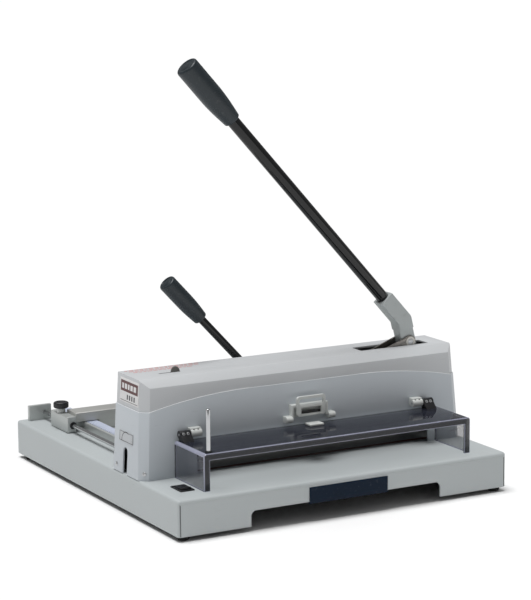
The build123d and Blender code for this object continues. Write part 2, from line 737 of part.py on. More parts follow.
# ---------------------------------------------------------------- main lever
arm_front = LEVER_Y - ARM_T / 2
arm_back = LEVER_Y + ARM_T / 2
up_x = -cos(radians(TUBE_SLOPE))
up_z = sin(radians(TUBE_SLOPE))
socket_x = ELBOW_X + SOCKET_LEN * up_x
socket_z = ELBOW_Z + SOCKET_LEN * up_z
leg_len = hypot(ELBOW_X - PIVOT_X, ELBOW_Z - PIVOT_Z)
leg_x = (ELBOW_X - PIVOT_X) / leg_len
leg_z = (ELBOW_Z - PIVOT_Z) / leg_len
HUB_D = 40.0
FORK_CLEAR = LINK_W / 2 + 12.0    # narrow part of the arm reaches this far past the link pin
pin_reach = hypot(PIN_X - PIVOT_X, PIN_Z - PIVOT_Z)

arm_upper = slot_plate(ELBOW_X, ELBOW_Z, socket_x, socket_z, ARM_W, arm_front, arm_back)
arm_leg = slot_plate(PIVOT_X, PIVOT_Z, ELBOW_X, ELBOW_Z, ARM_W, arm_front, arm_back)
socket_plane = Plane(origin=(socket_x, LEVER_Y, socket_z), x_dir=(0, 1, 0), z_dir=(up_x, 0, up_z))
with BuildPart() as lever_arm:
    add(arm_upper)
    add(arm_leg)
    with BuildSketch(socket_plane):
        Rectangle(2 * ARM_T, 2 * ARM_W)
    extrude(amount=ARM_W, mode=Mode.SUBTRACT)
    narrow_top = (pin_reach + FORK_CLEAR)
    cut_plane = Plane(
        origin=(PIVOT_X + leg_x * narrow_top, LEVER_Y, PIVOT_Z + leg_z * narrow_top),
        x_dir=(0, 1, 0),
        z_dir=(-leg_x, 0, -leg_z),
    )
    with BuildSketch(cut_plane):
        for side in (-1, 1):
            with Locations((side * (ARM_FOOT_T / 2 + ARM_T / 2), 0)):
                Rectangle(ARM_T, 3 * ARM_W)
    extrude(amount=narrow_top + HUB_D, mode=Mode.SUBTRACT)
    add(rod_y(PIVOT_X, PIVOT_Z, foot_front, foot_back, HUB_D))
    add(
        rod_y(PIVOT_X, PIVOT_Z, foot_front - 1, foot_back + 1, AXLE_D),
        mode=Mode.SUBTRACT,
    )
    add(
        rod_y(PIN_X, PIN_Z, foot_front - 1, foot_back + 1, LINK_PIN_D),
        mode=Mode.SUBTRACT,
    )
    with BuildSketch(socket_plane):
        Circle(TUBE_D / 2)
    extrude(amount=-TUBE_SEAT, mode=Mode.SUBTRACT)
save(lever_arm, "lever_arm")

with BuildPart() as lever_axle:
    add(rod_y(PIVOT_X, PIVOT_Z, BEAM_Y0, REAR_Y1, AXLE_D))
save(lever_axle, "lever_axle")

PIN_END = 0.5             # link pin past the link plates
with BuildPart() as link_pin:
    add(rod_y(PIN_X, PIN_Z, link_front - PIN_END, link_back + PIN_END, LINK_PIN_D))
save(link_pin, "link_pin")

with BuildPart() as lever_tube:
    with BuildSketch(socket_plane.offset(-TUBE_SEAT)):
        Circle(TUBE_D / 2)
        Circle(TUBE_D / 2 - TUBE_WALL, mode=Mode.SUBTRACT)
    extrude(amount=TUBE_SEAT + TUBE_FREE + GRIP_HOLD)
save(lever_tube, "lever_tube")


def grip_solid(seat, bore, hold, length, body_d, neck_d):
    """Moulded grip on a tube end: round body that tapers to its neck, closed at the tip."""
    neck_r = neck_d / 2
    body_r = body_d / 2
    edge = 0.11 * body_d
    with BuildPart() as solid:
        with BuildSketch(Plane(origin=seat.origin, x_dir=seat.x_dir, z_dir=seat.y_dir)):
            with BuildLine():
                base = Line((0, 0), (neck_r - 1.5, 0))
                lip = TangentArc(base @ 1, (neck_r, -1.5), tangent=(1, 0))
                taper = Spline(
                    lip @ 1, (body_r, -0.5 * length), tangents=[(0.12, -1), (0, -1)]
                )
                side = Line(taper @ 1, (body_r, -length + edge))
                tip = TangentArc(side @ 1, (body_r - edge, -length), tangent=(0, -1))
                Polyline(tip @ 1, (0, -length), (0, 0))
            make_face()
        revolve(axis=Axis(seat.origin, seat.z_dir))
        with BuildSketch(seat):
            Circle(bore / 2)
        extrude(amount=hold, mode=Mode.SUBTRACT)
    return solid.part


grip_plane = socket_plane.offset(TUBE_FREE)
with BuildPart() as lever_grip:
    add(grip_solid(grip_plane, TUBE_D, GRIP_HOLD, GRIP_LEN, GRIP_D, GRIP_NECK_D))
save(lever_grip, "lever_grip")

# ---------------------------------------------------------------- link
far_bore = LINK_PIN_D + 8.0       # open pivot: room for the arc that the link's end follows
far_plate_w = far_bore + 8.0
with BuildPart() as link_plates:
    for y0 in (link_front, link_back - LINK_T):
        y1 = y0 + LINK_T
        add(slot_plate(FAR_X, FAR_Z, PIN_X, PIN_Z, LINK_W, y0, y1))
        add(rod_y(FAR_X, FAR_Z, y0, y1, far_plate_w))
        add(rod_y(FAR_X, FAR_Z, y0 - 1, y1 + 1, far_bore), mode=Mode.SUBTRACT)
        add(rod_y(PIN_X, PIN_Z, y0 - 1, y1 + 1, LINK_PIN_D + 2 * RUN_GAP), mode=Mode.SUBTRACT)
save(link_plates, "link_plates")

# ---------------------------------------------------------------- blade carrier
# At rest the blade stands to the right of the throat by the draw it makes during the cut.
blade_x1 = THROAT_X1 + CUT_SHIFT + BLADE_END
blade_x0 = THROAT_X0 - BLADE_MARGIN + CUT_SHIFT
carrier_mid = (blade_x0 + blade_x1) / 2
carrier_x0 = carrier_mid - CARRIER_W / 2
carrier_x1 = carrier_mid + CARRIER_W / 2
blade_z0 = TABLE + BLADE_LOW
LUG_D = 20.0
LUG_GAP = 0.6
with BuildPart() as blade_carrier:
    add(slab(
        carrier_x0, carrier_x1, CARRIER_Y0, CARRIER_Y1, TABLE + CARRIER_LOW, HEAD_TOP - CARRIER_DOWN
    ))
    add(rod_y(FAR_X, FAR_Z, CARRIER_Y1, link_front - LUG_GAP, LUG_D))
    add(rod_y(FAR_X, FAR_Z, link_front - LUG_GAP, link_back + LUG_GAP, LINK_PIN_D))
save(blade_carrier, "blade_carrier")

with BuildPart() as blade:
    with BuildSketch(Plane.YZ.offset(blade_x0)):
        with BuildLine():
            Polyline(
                (BLADE_Y1, blade_z0),
                (BLADE_Y1, blade_z0 + BLADE_H),
                (CARRIER_Y1, blade_z0 + BLADE_H),
                (CARRIER_Y1, blade_z0 + BEVEL_H),
                close=True,
            )
        make_face()
    extrude(amount=blade_x1 - blade_x0)
save(blade, "blade")

BLADE_BOLTS = 5
with BuildPart() as blade_bolts:
    bolt_step = (CARRIER_W - 80) / (BLADE_BOLTS - 1)
    for index in range(BLADE_BOLTS):
        x = carrier_x0 + 40 + index * bolt_step
        add(rod_y(x, TABLE + CARRIER_LOW + 12, CARRIER_Y0 - BOLT_H, CARRIER_Y0, BOLT_D - 3))
save(blade_bolts, "blade_bolts")

with BuildPart() as guide_blocks:
    for x in guide_spots:
        add(rod_y(x, guide_z, CARRIER_Y1, BEAM_Y1, GUIDE_W))
save(guide_blocks, "guide_blocks")

# ---------------------------------------------------------------- clamp
clamp_z0 = TABLE + CLAMP_GAP
clamp_z1 = clamp_z0 + CLAMP_T
CLAMP_X_GAP = 3.0
clamp_x0 = THROAT_X0 + CLAMP_X_GAP
clamp_x1 = THROAT_X1 - CLAMP_X_GAP
clamp_y0 = BLADE_Y1 + 0.6
clamp_y1 = REAR_Y0 - CLAMP_BACK_GAP
with BuildPart() as clamp_bar:
    add(slab(clamp_x0, clamp_x1, clamp_y0, clamp_y1, clamp_z0, clamp_z1))
    bar_rims = clamp_bar.edges().filter_by(Axis.X).group_by(Axis.Z)[0]
    chamfer(bar_rims, 1.0)
save(clamp_bar, "clamp_bar")

CRANK_T = 5.0
RISER_T = 5.0
CRANK_PIN_D = 9.0
crank_y1 = REAR_Y0 - 1.0
crank_y0 = crank_y1 - CRANK_T
riser_y1 = crank_y0 - 0.6
riser_y0 = riser_y1 - RISER_T
crank_x = SHAFT_X - CRANK_R * cos(radians(CRANK_SAG))
crank_z = SHAFT_Z - CRANK_R * sin(radians(CRANK_SAG))
with BuildPart() as clamp_riser:
    riser_w = 30.0
    add(slab(
        crank_x - riser_w / 2, crank_x + riser_w / 2, riser_y0, riser_y1,
        clamp_z1, crank_z + CRANK_PIN_D / 2 + 9,
    ))
    add(
        slot_plate(
            crank_x - 3, crank_z, crank_x + 6, crank_z, CRANK_PIN_D + 1.4, riser_y0 - 1, riser_y1 + 1
        ),
        mode=Mode.SUBTRACT,
    )
save(clamp_riser, "clamp_riser")

guide_rod_y = riser_y0 + GUIDE_ROD_D / 2 - 0.5
guide_rods_x = (clamp_x0 + 12, clamp_x1 - 24)
GUIDE_BLOCK_H = 12.0
block_low = TABLE + 81.0
rod_top = block_low + GUIDE_BLOCK_H + 30.0
ROD_HEAD_T = 4.0
with BuildPart() as clamp_rods:
    for x in guide_rods_x:
        add(rod_z(x, guide_rod_y, clamp_z1, rod_top, GUIDE_ROD_D))
        add(rod_z(x, guide_rod_y, rod_top - ROD_HEAD_T, rod_top, GUIDE_ROD_D + 4))
save(clamp_rods, "clamp_rods")

with BuildPart() as clamp_guides:
    for x in guide_rods_x:
        add(slab(
            x - 9, x + 9, guide_rod_y - 7, REAR_Y0, block_low, block_low + GUIDE_BLOCK_H
        ))
    for x in guide_rods_x:
        add(
            rod_z(x, guide_rod_y, block_low - 1, block_low + GUIDE_BLOCK_H + 1, rod_bore),
            mode=Mode.SUBTRACT,
        )
save(clamp_guides, "clamp_guides")

COIL_TURNS = 6
coil_wire = 1.5
coil_z0 = block_low + GUIDE_BLOCK_H
coil_z1 = rod_top - ROD_HEAD_T
with BuildPart() as clamp_springs:
    pitch = (coil_z1 - coil_z0) / COIL_TURNS
    for x in guide_rods_x:
        for turn in range(COIL_TURNS):
            z = coil_z0 + (turn + 0.5) * pitch
            with Locations((x, guide_rod_y, z)):
                Torus(GUIDE_ROD_D / 2 + coil_wire, coil_wire / 2)
save(clamp_springs, "clamp_springs")

with BuildPart() as clamp_shaft:
    add(rod_y(SHAFT_X, SHAFT_Z, crank_y0, HEAD_BACK + CLAMP_HUB_BACK + CLAMP_HUB_T, CLAMP_SHAFT_D))
save(clamp_shaft, "clamp_shaft")

with BuildPart() as clamp_crank:
    add(slot_plate(crank_x, crank_z, SHAFT_X, SHAFT_Z, 20.0, crank_y0, crank_y1))
    add(rod_y(SHAFT_X, SHAFT_Z, crank_y0, crank_y1, 26.0))
    add(rod_y(SHAFT_X, SHAFT_Z, crank_y0 - 1, crank_y1 + 1, CLAMP_SHAFT_D), mode=Mode.SUBTRACT)
    add(rod_y(crank_x, crank_z, riser_y0 - 0.5, crank_y0, CRANK_PIN_D))
save(clamp_crank, "clamp_crank")

hub_y0 = HEAD_BACK + CLAMP_HUB_BACK
hub_y1 = hub_y0 + CLAMP_HUB_T
CLAMP_HUB_D = 30.0
hub_y = (hub_y0 + hub_y1) / 2
rod_dir_x = -cos(radians(CLAMP_SLOPE))
rod_dir_z = sin(radians(CLAMP_SLOPE))
ROD_SEAT = 8.0            # rod starts this far from the shaft's centre
rod_plane = Plane(
    origin=(SHAFT_X + rod_dir_x * ROD_SEAT, hub_y, SHAFT_Z + rod_dir_z * ROD_SEAT),
    x_dir=(0, 1, 0),
    z_dir=(rod_dir_x, 0, rod_dir_z),
)
with BuildPart() as clamp_hub:
    add(rod_y(SHAFT_X, SHAFT_Z, hub_y0, hub_y1, CLAMP_HUB_D))
    with BuildSketch(rod_plane):
        Circle(CLAMP_ROD_D / 2 + 2.0)
    extrude(amount=22)
    add(rod_y(SHAFT_X, SHAFT_Z, hub_y0 - 1, hub_y1 + 1, CLAMP_SHAFT_D), mode=Mode.SUBTRACT)
    with BuildSketch(rod_plane):
        Circle(CLAMP_ROD_D / 2)
    extrude(amount=30, mode=Mode.SUBTRACT)
save(clamp_hub, "clamp_hub")

with BuildPart() as clamp_rod:
    with BuildSketch(rod_plane):
        Circle(CLAMP_ROD_D / 2)
    extrude(amount=CLAMP_ROD_LEN - ROD_SEAT + CLAMP_GRIP_HOLD)
save(clamp_rod, "clamp_rod")

clamp_grip_plane = rod_plane.offset(CLAMP_ROD_LEN - ROD_SEAT)
with BuildPart() as clamp_grip:
    add(grip_solid(
        clamp_grip_plane, CLAMP_ROD_D, CLAMP_GRIP_HOLD, CLAMP_GRIP_LEN, CLAMP_GRIP_D, CLAMP_GRIP_NECK_D
    ))
save(clamp_grip, "clamp_grip")

# ---------------------------------------------------------------- guard
GUARD_FLOOR_GAP = 0.5
guard_z0 = TABLE + GUARD_FLOOR_GAP
with BuildPart() as guard_panel:
    add(slab(GUARD_X0, GUARD_X1, GUARD_Y0, GUARD_Y1, guard_z0, GUARD_TOP))
    uprights = guard_panel.edges().filter_by(Axis.Y).group_by(Axis.Z)[-1]
    fillet(uprights, 5.0)
    fillet(guard_panel.faces().sort_by(Axis.Y)[0].edges().sort_by(Axis.Z)[-1], 1.5)
    add(
        slab(
            GUARD_X0 + GUARD_WALL, GUARD_X1 - GUARD_WALL, GUARD_Y0 + GUARD_WALL, GUARD_Y1 + 1,
            guard_z0 - 1, GUARD_TOP - GUARD_WALL,
        ),
        mode=Mode.SUBTRACT,
    )
    add(
        slab(
            GUARD_X0 + GUARD_LIP, GUARD_X1 - GUARD_LIP, GUARD_Y0 - 1, GUARD_Y0 + GUARD_WALL + 1,
            guard_z0 - 1, GUARD_TOP - GUARD_LIP,
        ),
        mode=Mode.SUBTRACT,
    )
save(guard_panel, "guard_panel")

left_hinge = GUARD_X0 + HINGE_INSET
right_hinge = GUARD_X1 - HINGE_INSET - 4.0 - 2 * HINGE_W
guard_halves = (left_hinge, right_hinge + HINGE_W)
fixed_halves = (left_hinge + HINGE_W, right_hinge)
SIDE_GAP = 0.4
bore_d = HINGE_PIN_D + 2 * RUN_GAP
leaf_y0 = HINGE_Y - HINGE_R

with BuildPart() as guard_arms:
    for x in guard_halves:
        x0 = x + SIDE_GAP
        x1 = x + HINGE_W - SIDE_GAP
        with BuildSketch(Plane.YZ.offset(x0)):
            with BuildLine():
                Polyline(
                    (leaf_y0 - 10, GUARD_TOP),
                    (GUARD_Y1 - 1.0, GUARD_TOP),
                    (HINGE_Y + 2.0, HINGE_Z - 2.0),
                    (leaf_y0, HINGE_Z),
                    close=True,
                )
            make_face()
        extrude(amount=x1 - x0)
        add(rod_x(HINGE_Y, HINGE_Z, x0, x1, 2 * HINGE_R))
    for x in guard_halves:
        add(rod_x(HINGE_Y, HINGE_Z, x - 1, x + HINGE_W + 1, bore_d), mode=Mode.SUBTRACT)
    add(slab(GUARD_X0, GUARD_X1, GUARD_Y0, BACK, TABLE, GUARD_TOP), mode=Mode.SUBTRACT)
save(guard_arms, "guard_arms")

with BuildPart() as hinge_blocks:
    for x in fixed_halves:
        x0 = x + SIDE_GAP
        x1 = x + HINGE_W - SIDE_GAP
        add(slab(x0, x1, HINGE_Y - 1, HEAD_FRONT + 12, HINGE_Z - HINGE_R + 1, HINGE_Z + HINGE_R + 2))
        add(rod_x(HINGE_Y, HINGE_Z, x0, x1, 2 * HINGE_R))
    for x in fixed_halves:
        add(rod_x(HINGE_Y, HINGE_Z, x - 1, x + HINGE_W + 1, HINGE_PIN_D), mode=Mode.SUBTRACT)
    add(lower_outer, mode=Mode.SUBTRACT)
save(hinge_blocks, "hinge_blocks")

with BuildPart() as hinge_pins:
    for x in (left_hinge, right_hinge):
        add(rod_x(HINGE_Y, HINGE_Z, x, x + 2 * HINGE_W, HINGE_PIN_D))
save(hinge_pins, "hinge_pins")

lift_x = GUARD_X0 + LIFT_ROD_IN
lift_y = GUARD_Y0 + LIFT_ROD_BACK
with BuildPart() as lift_rod:
    add(rod_z(lift_x, lift_y, GUARD_TOP, GUARD_TOP + LIFT_ROD_H, LIFT_ROD_D))
    fillet(lift_rod.edges().sort_by(Axis.Z)[-1], 1.5)
save(lift_rod, "lift_rod")

TONGUE_W = 26.0
TONGUE_T = 3.6
with BuildPart() as guard_tongue:
    add(slab(
        GUARD_MID - TONGUE_W / 2, GUARD_MID + TONGUE_W / 2, GUARD_Y1 - 26, GUARD_Y1 - 8,
        GUARD_TOP, GUARD_TOP + TONGUE_T,
    ))
    top_edges = guard_tongue.faces().sort_by(Axis.Z)[-1].edges()
    fillet(top_edges, 1.5)
save(guard_tongue, "guard_tongue")

# ---------------------------------------------------------------- guard latch on the head
LATCH_W = 68.0
LATCH_LOW = 72.0          # above the table
LATCH_H = 22.0
LATCH_OUT = 10.0          # stands out from the head front
LATCH_WALL = 4.0
BARREL_D = 10.5
BARREL_LEN = 12.0
latch_z0 = TABLE + LATCH_LOW
latch_z1 = latch_z0 + LATCH_H
latch_face = HEAD_FRONT + (LATCH_LOW + LATCH_H / 2) * HEAD_LEAN
latch_y0 = latch_face - LATCH_OUT
with BuildPart() as latch_frame:
    add(slab(
        GUARD_MID - LATCH_W / 2, GUARD_MID + LATCH_W / 2, latch_y0, HEAD_FRONT + 12, latch_z0, latch_z1
    ))
    add(
        slab(
            GUARD_MID - LATCH_W / 2 + LATCH_WALL, GUARD_MID + LATCH_W / 2 - LATCH_WALL,
            latch_y0 - 1, latch_face - 1.5, latch_z0 - 1, latch_z1 - LATCH_WALL,
        ),
        mode=Mode.SUBTRACT,
    )
    for x0 in (GUARD_MID - LATCH_W / 2 - BARREL_LEN, GUARD_MID + LATCH_W / 2):
        add(rod_x(HINGE_Y, HINGE_Z, x0, x0 + BARREL_LEN, BARREL_D))
        add(slab(
            x0, x0 + BARREL_LEN, HINGE_Y, HEAD_FRONT + 12, HINGE_Z - BARREL_D / 2, HINGE_Z + BARREL_D / 2
        ))
    add(lower_outer, mode=Mode.SUBTRACT)
save(latch_frame, "latch_frame")

HANDLE_W = 54.0
HANDLE_T = 4.0
HANDLE_TALL = 33.0
HANDLE_LOW = 75.0
handle_y0 = latch_y0 - 0.6 - HANDLE_T
handle_z0 = TABLE + HANDLE_LOW
with BuildPart() as latch_handle:
    with BuildSketch(Plane.XZ.offset(-handle_y0 - HANDLE_T)):
        with Locations((GUARD_MID, handle_z0 + HANDLE_TALL / 2)):
            RectangleRounded(HANDLE_W, HANDLE_TALL, 5)
        with Locations((GUARD_MID, handle_z0 + HANDLE_TALL - 9.5)):
            RectangleRounded(HANDLE_W - 9, 10, 4, mode=Mode.SUBTRACT)
        with Locations((GUARD_MID, handle_z0 + 9)):
            Rectangle(HANDLE_W - 16, 11, mode=Mode.SUBTRACT)
    extrude(amount=HANDLE_T)
save(latch_handle, "latch_handle")

with BuildPart() as latch_bolt:
    add(slab(
        GUARD_MID - 10, GUARD_MID + 10, handle_y0 + HANDLE_T, latch_face - 2.2,
        latch_z0 + 5.0, latch_z0 + 8.4,
    ))
    add(slab(
        GUARD_MID - HANDLE_W / 2 + 4, GUARD_MID + HANDLE_W / 2 - 4, handle_y0 + HANDLE_T,
        handle_y0 + HANDLE_T + 3, latch_z0 + 6.4, latch_z0 + 10.4,
    ))
save(latch_bolt, "latch_bolt")

# ---------------------------------------------------------------- lever lock on the head top
TAB_LEN = 15.0
TAB_T = 3.4
TAB_H = 9.0
TAB_IN = 2.0
tab_x1 = lock_x0 + LOCK_SLOT_LEN - TAB_IN
tab_mid = tab_x1 - TAB_LEN / 2
with BuildPart() as lock_tab:
    with BuildSketch(Plane.XZ.offset(-lock_y - TAB_T / 2)):
        with Locations((tab_mid, HEAD_TOP)):
            Ellipse(TAB_LEN / 2, TAB_H)
        with Locations((tab_mid, HEAD_TOP - 12)):
            Rectangle(2 * TAB_LEN, 24, mode=Mode.SUBTRACT)
        with Locations((tab_mid, HEAD_TOP - HEAD_WALL / 2 - 0.5)):
            Rectangle(TAB_LEN, HEAD_WALL + 1)
    extrude(amount=TAB_T)
    add(slab(
        tab_mid - 8, tab_mid + 8, lock_y - 5, lock_y + 5,
        HEAD_TOP - HEAD_WALL - 3.4, HEAD_TOP - HEAD_WALL - 0.4,
    ))
save(lock_tab, "lock_tab")

# ---------------------------------------------------------------- lamp switch and lamp
BEZEL_H = 2.0
with BuildPart() as switch_bezel:
    with BuildSketch(Plane.XY.offset(TABLE)):
        with Locations((SWITCH_X, SWITCH_Y)):
            RectangleRounded(SWITCH_W + 5, SWITCH_D + 5, 1.5)
    extrude(amount=BEZEL_H)
    with BuildSketch(Plane.XY.offset(TABLE)):
        with Locations((SWITCH_X, SWITCH_Y)):
            Rectangle(SWITCH_W, SWITCH_D)
    extrude(amount=-SWITCH_DEEP)
    with BuildSketch(Plane.XY.offset(TABLE + BEZEL_H)):
        with Locations((SWITCH_X, SWITCH_Y)):
            Rectangle(SWITCH_W - 2 * SWITCH_WALL, SWITCH_D - 2 * SWITCH_WALL)
    extrude(amount=-(BEZEL_H + SWITCH_DEEP - SWITCH_WALL), mode=Mode.SUBTRACT)
save(switch_bezel, "switch_bezel")

ROCKER_GAP = 0.6
rocker_w = SWITCH_W - 2 * SWITCH_WALL - 2 * ROCKER_GAP
rocker_d = SWITCH_D - 2 * SWITCH_WALL - 2 * ROCKER_GAP - 1.0
with BuildPart() as switch_rocker:
    with BuildSketch(Plane.YZ.offset(SWITCH_X - rocker_w / 2)):
        with BuildLine():
            Polyline(
                (SWITCH_Y - rocker_d / 2, TABLE + 0.9),
                (SWITCH_Y + rocker_d / 2, TABLE + 0.9),
                (SWITCH_Y + rocker_d / 2, TABLE + 2.4),
                (SWITCH_Y, TABLE + 3.0),
                (SWITCH_Y - rocker_d / 2, TABLE + 5.6),
                close=True,
            )
        make_face()
    extrude(amount=rocker_w)
save(switch_rocker, "switch_rocker")

LAMP_IN = 20.0            # lamp's ends to the throat's ends
LAMP_T = 4.0
LAMP_H = 8.0
LAMP_UP = 3.0             # throat's top edge to the lamp
lamp_low = THROAT_H + LAMP_UP
lamp_high = lamp_low + LAMP_H
lamp_y0 = HEAD_FRONT + HEAD_WALL + lamp_high * HEAD_LEAN + 0.1
with BuildPart() as line_lamp:
    add(slab(
        THROAT_X0 + LAMP_IN, THROAT_X1 - LAMP_IN, lamp_y0, lamp_y0 + LAMP_T,
        TABLE + lamp_low, TABLE + lamp_high,
    ))
save(line_lamp, "line_lamp")

# ---------------------------------------------------------------- side lay, gauge rod and brackets
head_clear = HEAD_BACK + REAR_COVER_T + 1.0
lay_y1 = FRONT + LAY_END
with BuildPart() as side_lay:
    add(slab(LAY_X0, LAY_X0 + LAY_W, head_clear, lay_y1, TABLE, TABLE + LAY_H))
    lay_rims = side_lay.edges().filter_by(Axis.Y).group_by(Axis.Z)[-1]
    chamfer(lay_rims, 1.0)
save(side_lay, "side_lay")

RULER_T = 0.6
with BuildPart() as ruler_strip:
    add(slab(
        LAY_X0 + 4.5, LAY_X0 + LAY_W - 3, head_clear + 2, lay_y1 - 3, TABLE + LAY_H, TABLE + LAY_H + RULER_T
    ))
save(ruler_strip, "ruler_strip")

BRACKET_T = 7.0
BRACKET_RISE = 10.0
rear_bracket_y = BACK - 20.0
with BuildPart() as rod_brackets:
    for y0, x0, x1 in (
        (rear_bracket_y, LEFT + 16, ROD_X + 12),
        (head_clear, ROD_X - 10, ROD_X + 10),
    ):
        add(slab(x0, x1, y0, y0 + BRACKET_T, TABLE, ROD_Z + ROD_D / 2 + BRACKET_RISE))
    add(rod_y(ROD_X, ROD_Z, head_clear - 1, rear_bracket_y + BRACKET_T + 1, ROD_D), mode=Mode.SUBTRACT)
save(rod_brackets, "rod_brackets")

with BuildPart() as gauge_rod:
    add(rod_y(ROD_X, ROD_Z, head_clear, rear_bracket_y + BRACKET_T, ROD_D))
save(gauge_rod, "gauge_rod")

# ---------------------------------------------------------------- back gauge
block_x0 = ROD_X - 11.0
block_y0 = BAR_Y0 - 2.0
block_z0 = TABLE + 1.5
block_z1 = block_z0 + BLOCK_H
knob_x = block_x0 + BLOCK_W / 2
knob_y = block_y0 + KNOB_BACK
COLLAR_D = 15.0
COLLAR_H = 7.5
with BuildPart() as gauge_block:
    add(slab(block_x0, block_x0 + BLOCK_W, block_y0, block_y0 + BLOCK_D, block_z0, block_z1))
    block_rims = gauge_block.edges().filter_by(Axis.Z)
    fillet(block_rims, 2.0)
    fillet(gauge_block.faces().sort_by(Axis.Z)[-1].edges(), 1.5)
    add(
        rod_y(ROD_X, ROD_Z, block_y0 - 1, block_y0 + BLOCK_D + 1, ROD_D + 2 * RUN_GAP),
        mode=Mode.SUBTRACT,
    )
    add(rod_z(knob_x, knob_y, block_z1, block_z1 + COLLAR_H, COLLAR_D))
save(gauge_block, "gauge_block")

bar_x0 = block_x0 + BLOCK_W
bar_z0 = TABLE + 0.8
LAY_CLEAR = 1.0
with BuildPart() as gauge_bar:
    add(slab(bar_x0, bar_x0 + BAR_W, BAR_Y0, BAR_Y0 + BAR_D, bar_z0, bar_z0 + BAR_H))
    fillet(gauge_bar.edges().filter_by(Axis.X).group_by(Axis.Z)[-1], 2.0)
    add(
        slab(
            bar_x0 - 1, LAY_X0 + LAY_W + LAY_CLEAR, BAR_Y0 - 1, BAR_Y0 + BAR_D + 1,
            bar_z0 - 1, TABLE + LAY_H + RULER_T + LAY_CLEAR,
        ),
        mode=Mode.SUBTRACT,
    )
save(gauge_bar, "gauge_bar")

knob_z0 = block_z1 + COLLAR_H + 0.4
with BuildPart() as gauge_knob:
    add(rod_z(knob_x, knob_y, knob_z0, knob_z0 + KNOB_H, KNOB_D))
    rims = gauge_knob.edges().filter_by(GeomType.CIRCLE)
    chamfer(rims, 1.0)
save(gauge_knob, "gauge_knob")
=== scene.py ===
"""Looks of a guillotine stack cutter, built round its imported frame."""

import json
from math import cos, pi, radians, sin

import bmesh
import bpy
from mathutils import Matrix, Vector

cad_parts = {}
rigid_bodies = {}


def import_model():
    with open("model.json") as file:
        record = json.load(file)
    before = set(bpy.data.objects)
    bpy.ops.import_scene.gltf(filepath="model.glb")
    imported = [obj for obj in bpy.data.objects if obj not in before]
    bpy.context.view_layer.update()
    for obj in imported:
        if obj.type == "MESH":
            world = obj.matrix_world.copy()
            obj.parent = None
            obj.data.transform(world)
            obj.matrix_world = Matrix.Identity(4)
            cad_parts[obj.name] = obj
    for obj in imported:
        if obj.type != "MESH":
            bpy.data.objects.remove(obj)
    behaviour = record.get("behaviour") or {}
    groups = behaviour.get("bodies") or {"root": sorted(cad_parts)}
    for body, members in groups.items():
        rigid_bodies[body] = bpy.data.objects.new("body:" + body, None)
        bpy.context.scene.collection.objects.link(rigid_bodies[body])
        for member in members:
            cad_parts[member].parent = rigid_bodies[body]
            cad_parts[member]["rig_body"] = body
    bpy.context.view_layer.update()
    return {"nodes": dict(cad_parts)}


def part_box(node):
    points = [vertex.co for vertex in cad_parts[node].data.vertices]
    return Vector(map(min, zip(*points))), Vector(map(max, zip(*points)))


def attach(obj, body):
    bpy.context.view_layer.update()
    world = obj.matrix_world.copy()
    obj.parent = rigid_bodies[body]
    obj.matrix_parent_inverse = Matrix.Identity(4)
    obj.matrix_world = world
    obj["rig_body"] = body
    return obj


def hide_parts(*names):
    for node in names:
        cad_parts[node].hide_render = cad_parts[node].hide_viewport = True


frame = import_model()

bl_info = {
    "name": "Stack Cutter",
    "version": (1, 0, 0),
    "blender": (4, 5, 0),
    "location": "3D View > Sidebar > Stack Cutter",
    "description": "Builds the covers, levers, guard and gauges of a guillotine stack cutter",
    "category": "Add Mesh",
}

MM = 0.001
BODY_OF = {name: node["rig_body"] for name, node in frame["nodes"].items()}
FINISHES = {}

HEAD_DRAFT = radians(3.4)        # lean of the head's front and end walls
LEVER_SLOPE = radians(48.0)      # lever tube above level
CLAMP_SLOPE = radians(46.9)      # clamp rod above level
ROUND_STEPS = 64                 # sides of a smooth turned piece


# ---------------------------------------------------------------- sizes and colours
def colour_choice(name, description, default):
    """A colour that the user may change."""
    return bpy.props.FloatVectorProperty(
        name=name, description=description, default=default, size=3, subtype="COLOR", min=0.0, max=1.0
    )


def length_choice(name, description, millimetres):
    """A length that the user may change."""
    return bpy.props.FloatProperty(
        name=name, description=description, default=millimetres * MM, min=0.0, unit="LENGTH", precision=5
    )


class CutterColours(bpy.types.PropertyGroup):
    """Colours of the cutter's coats and mouldings."""

    table: colour_choice("Table", "Powder coat of the base", (0.462, 0.495, 0.502))
    housing: colour_choice("Housing", "Powder coat of the lower head housing", (0.520, 0.557, 0.590))
    cover: colour_choice("Cover", "Powder coat of the upper head cover", (0.560, 0.575, 0.590))
    grips: colour_choice("Grips", "Moulding of the two lever grips", (0.010, 0.018, 0.024))
    front_grip: colour_choice("Front grip", "Moulding of the carrying grip", (0.003, 0.011, 0.026))
    tube: colour_choice("Tube", "Enamel of the lever tubes", (0.004, 0.0045, 0.005))
    smoke: colour_choice("Smoke", "Tint of the clear guard", (0.018, 0.020, 0.030))
    casting: colour_choice("Casting", "Coat of the lever's arm casting", (0.420, 0.450, 0.450))
    white: colour_choice("White mouldings", "Hinges and latch", (0.640, 0.660, 0.640))
    black: colour_choice("Black mouldings", "Knob, switch and hinge arms", (0.009, 0.009, 0.011))
    print_red: colour_choice("Red print", "Printed marks on the cover", (0.620, 0.300, 0.290))


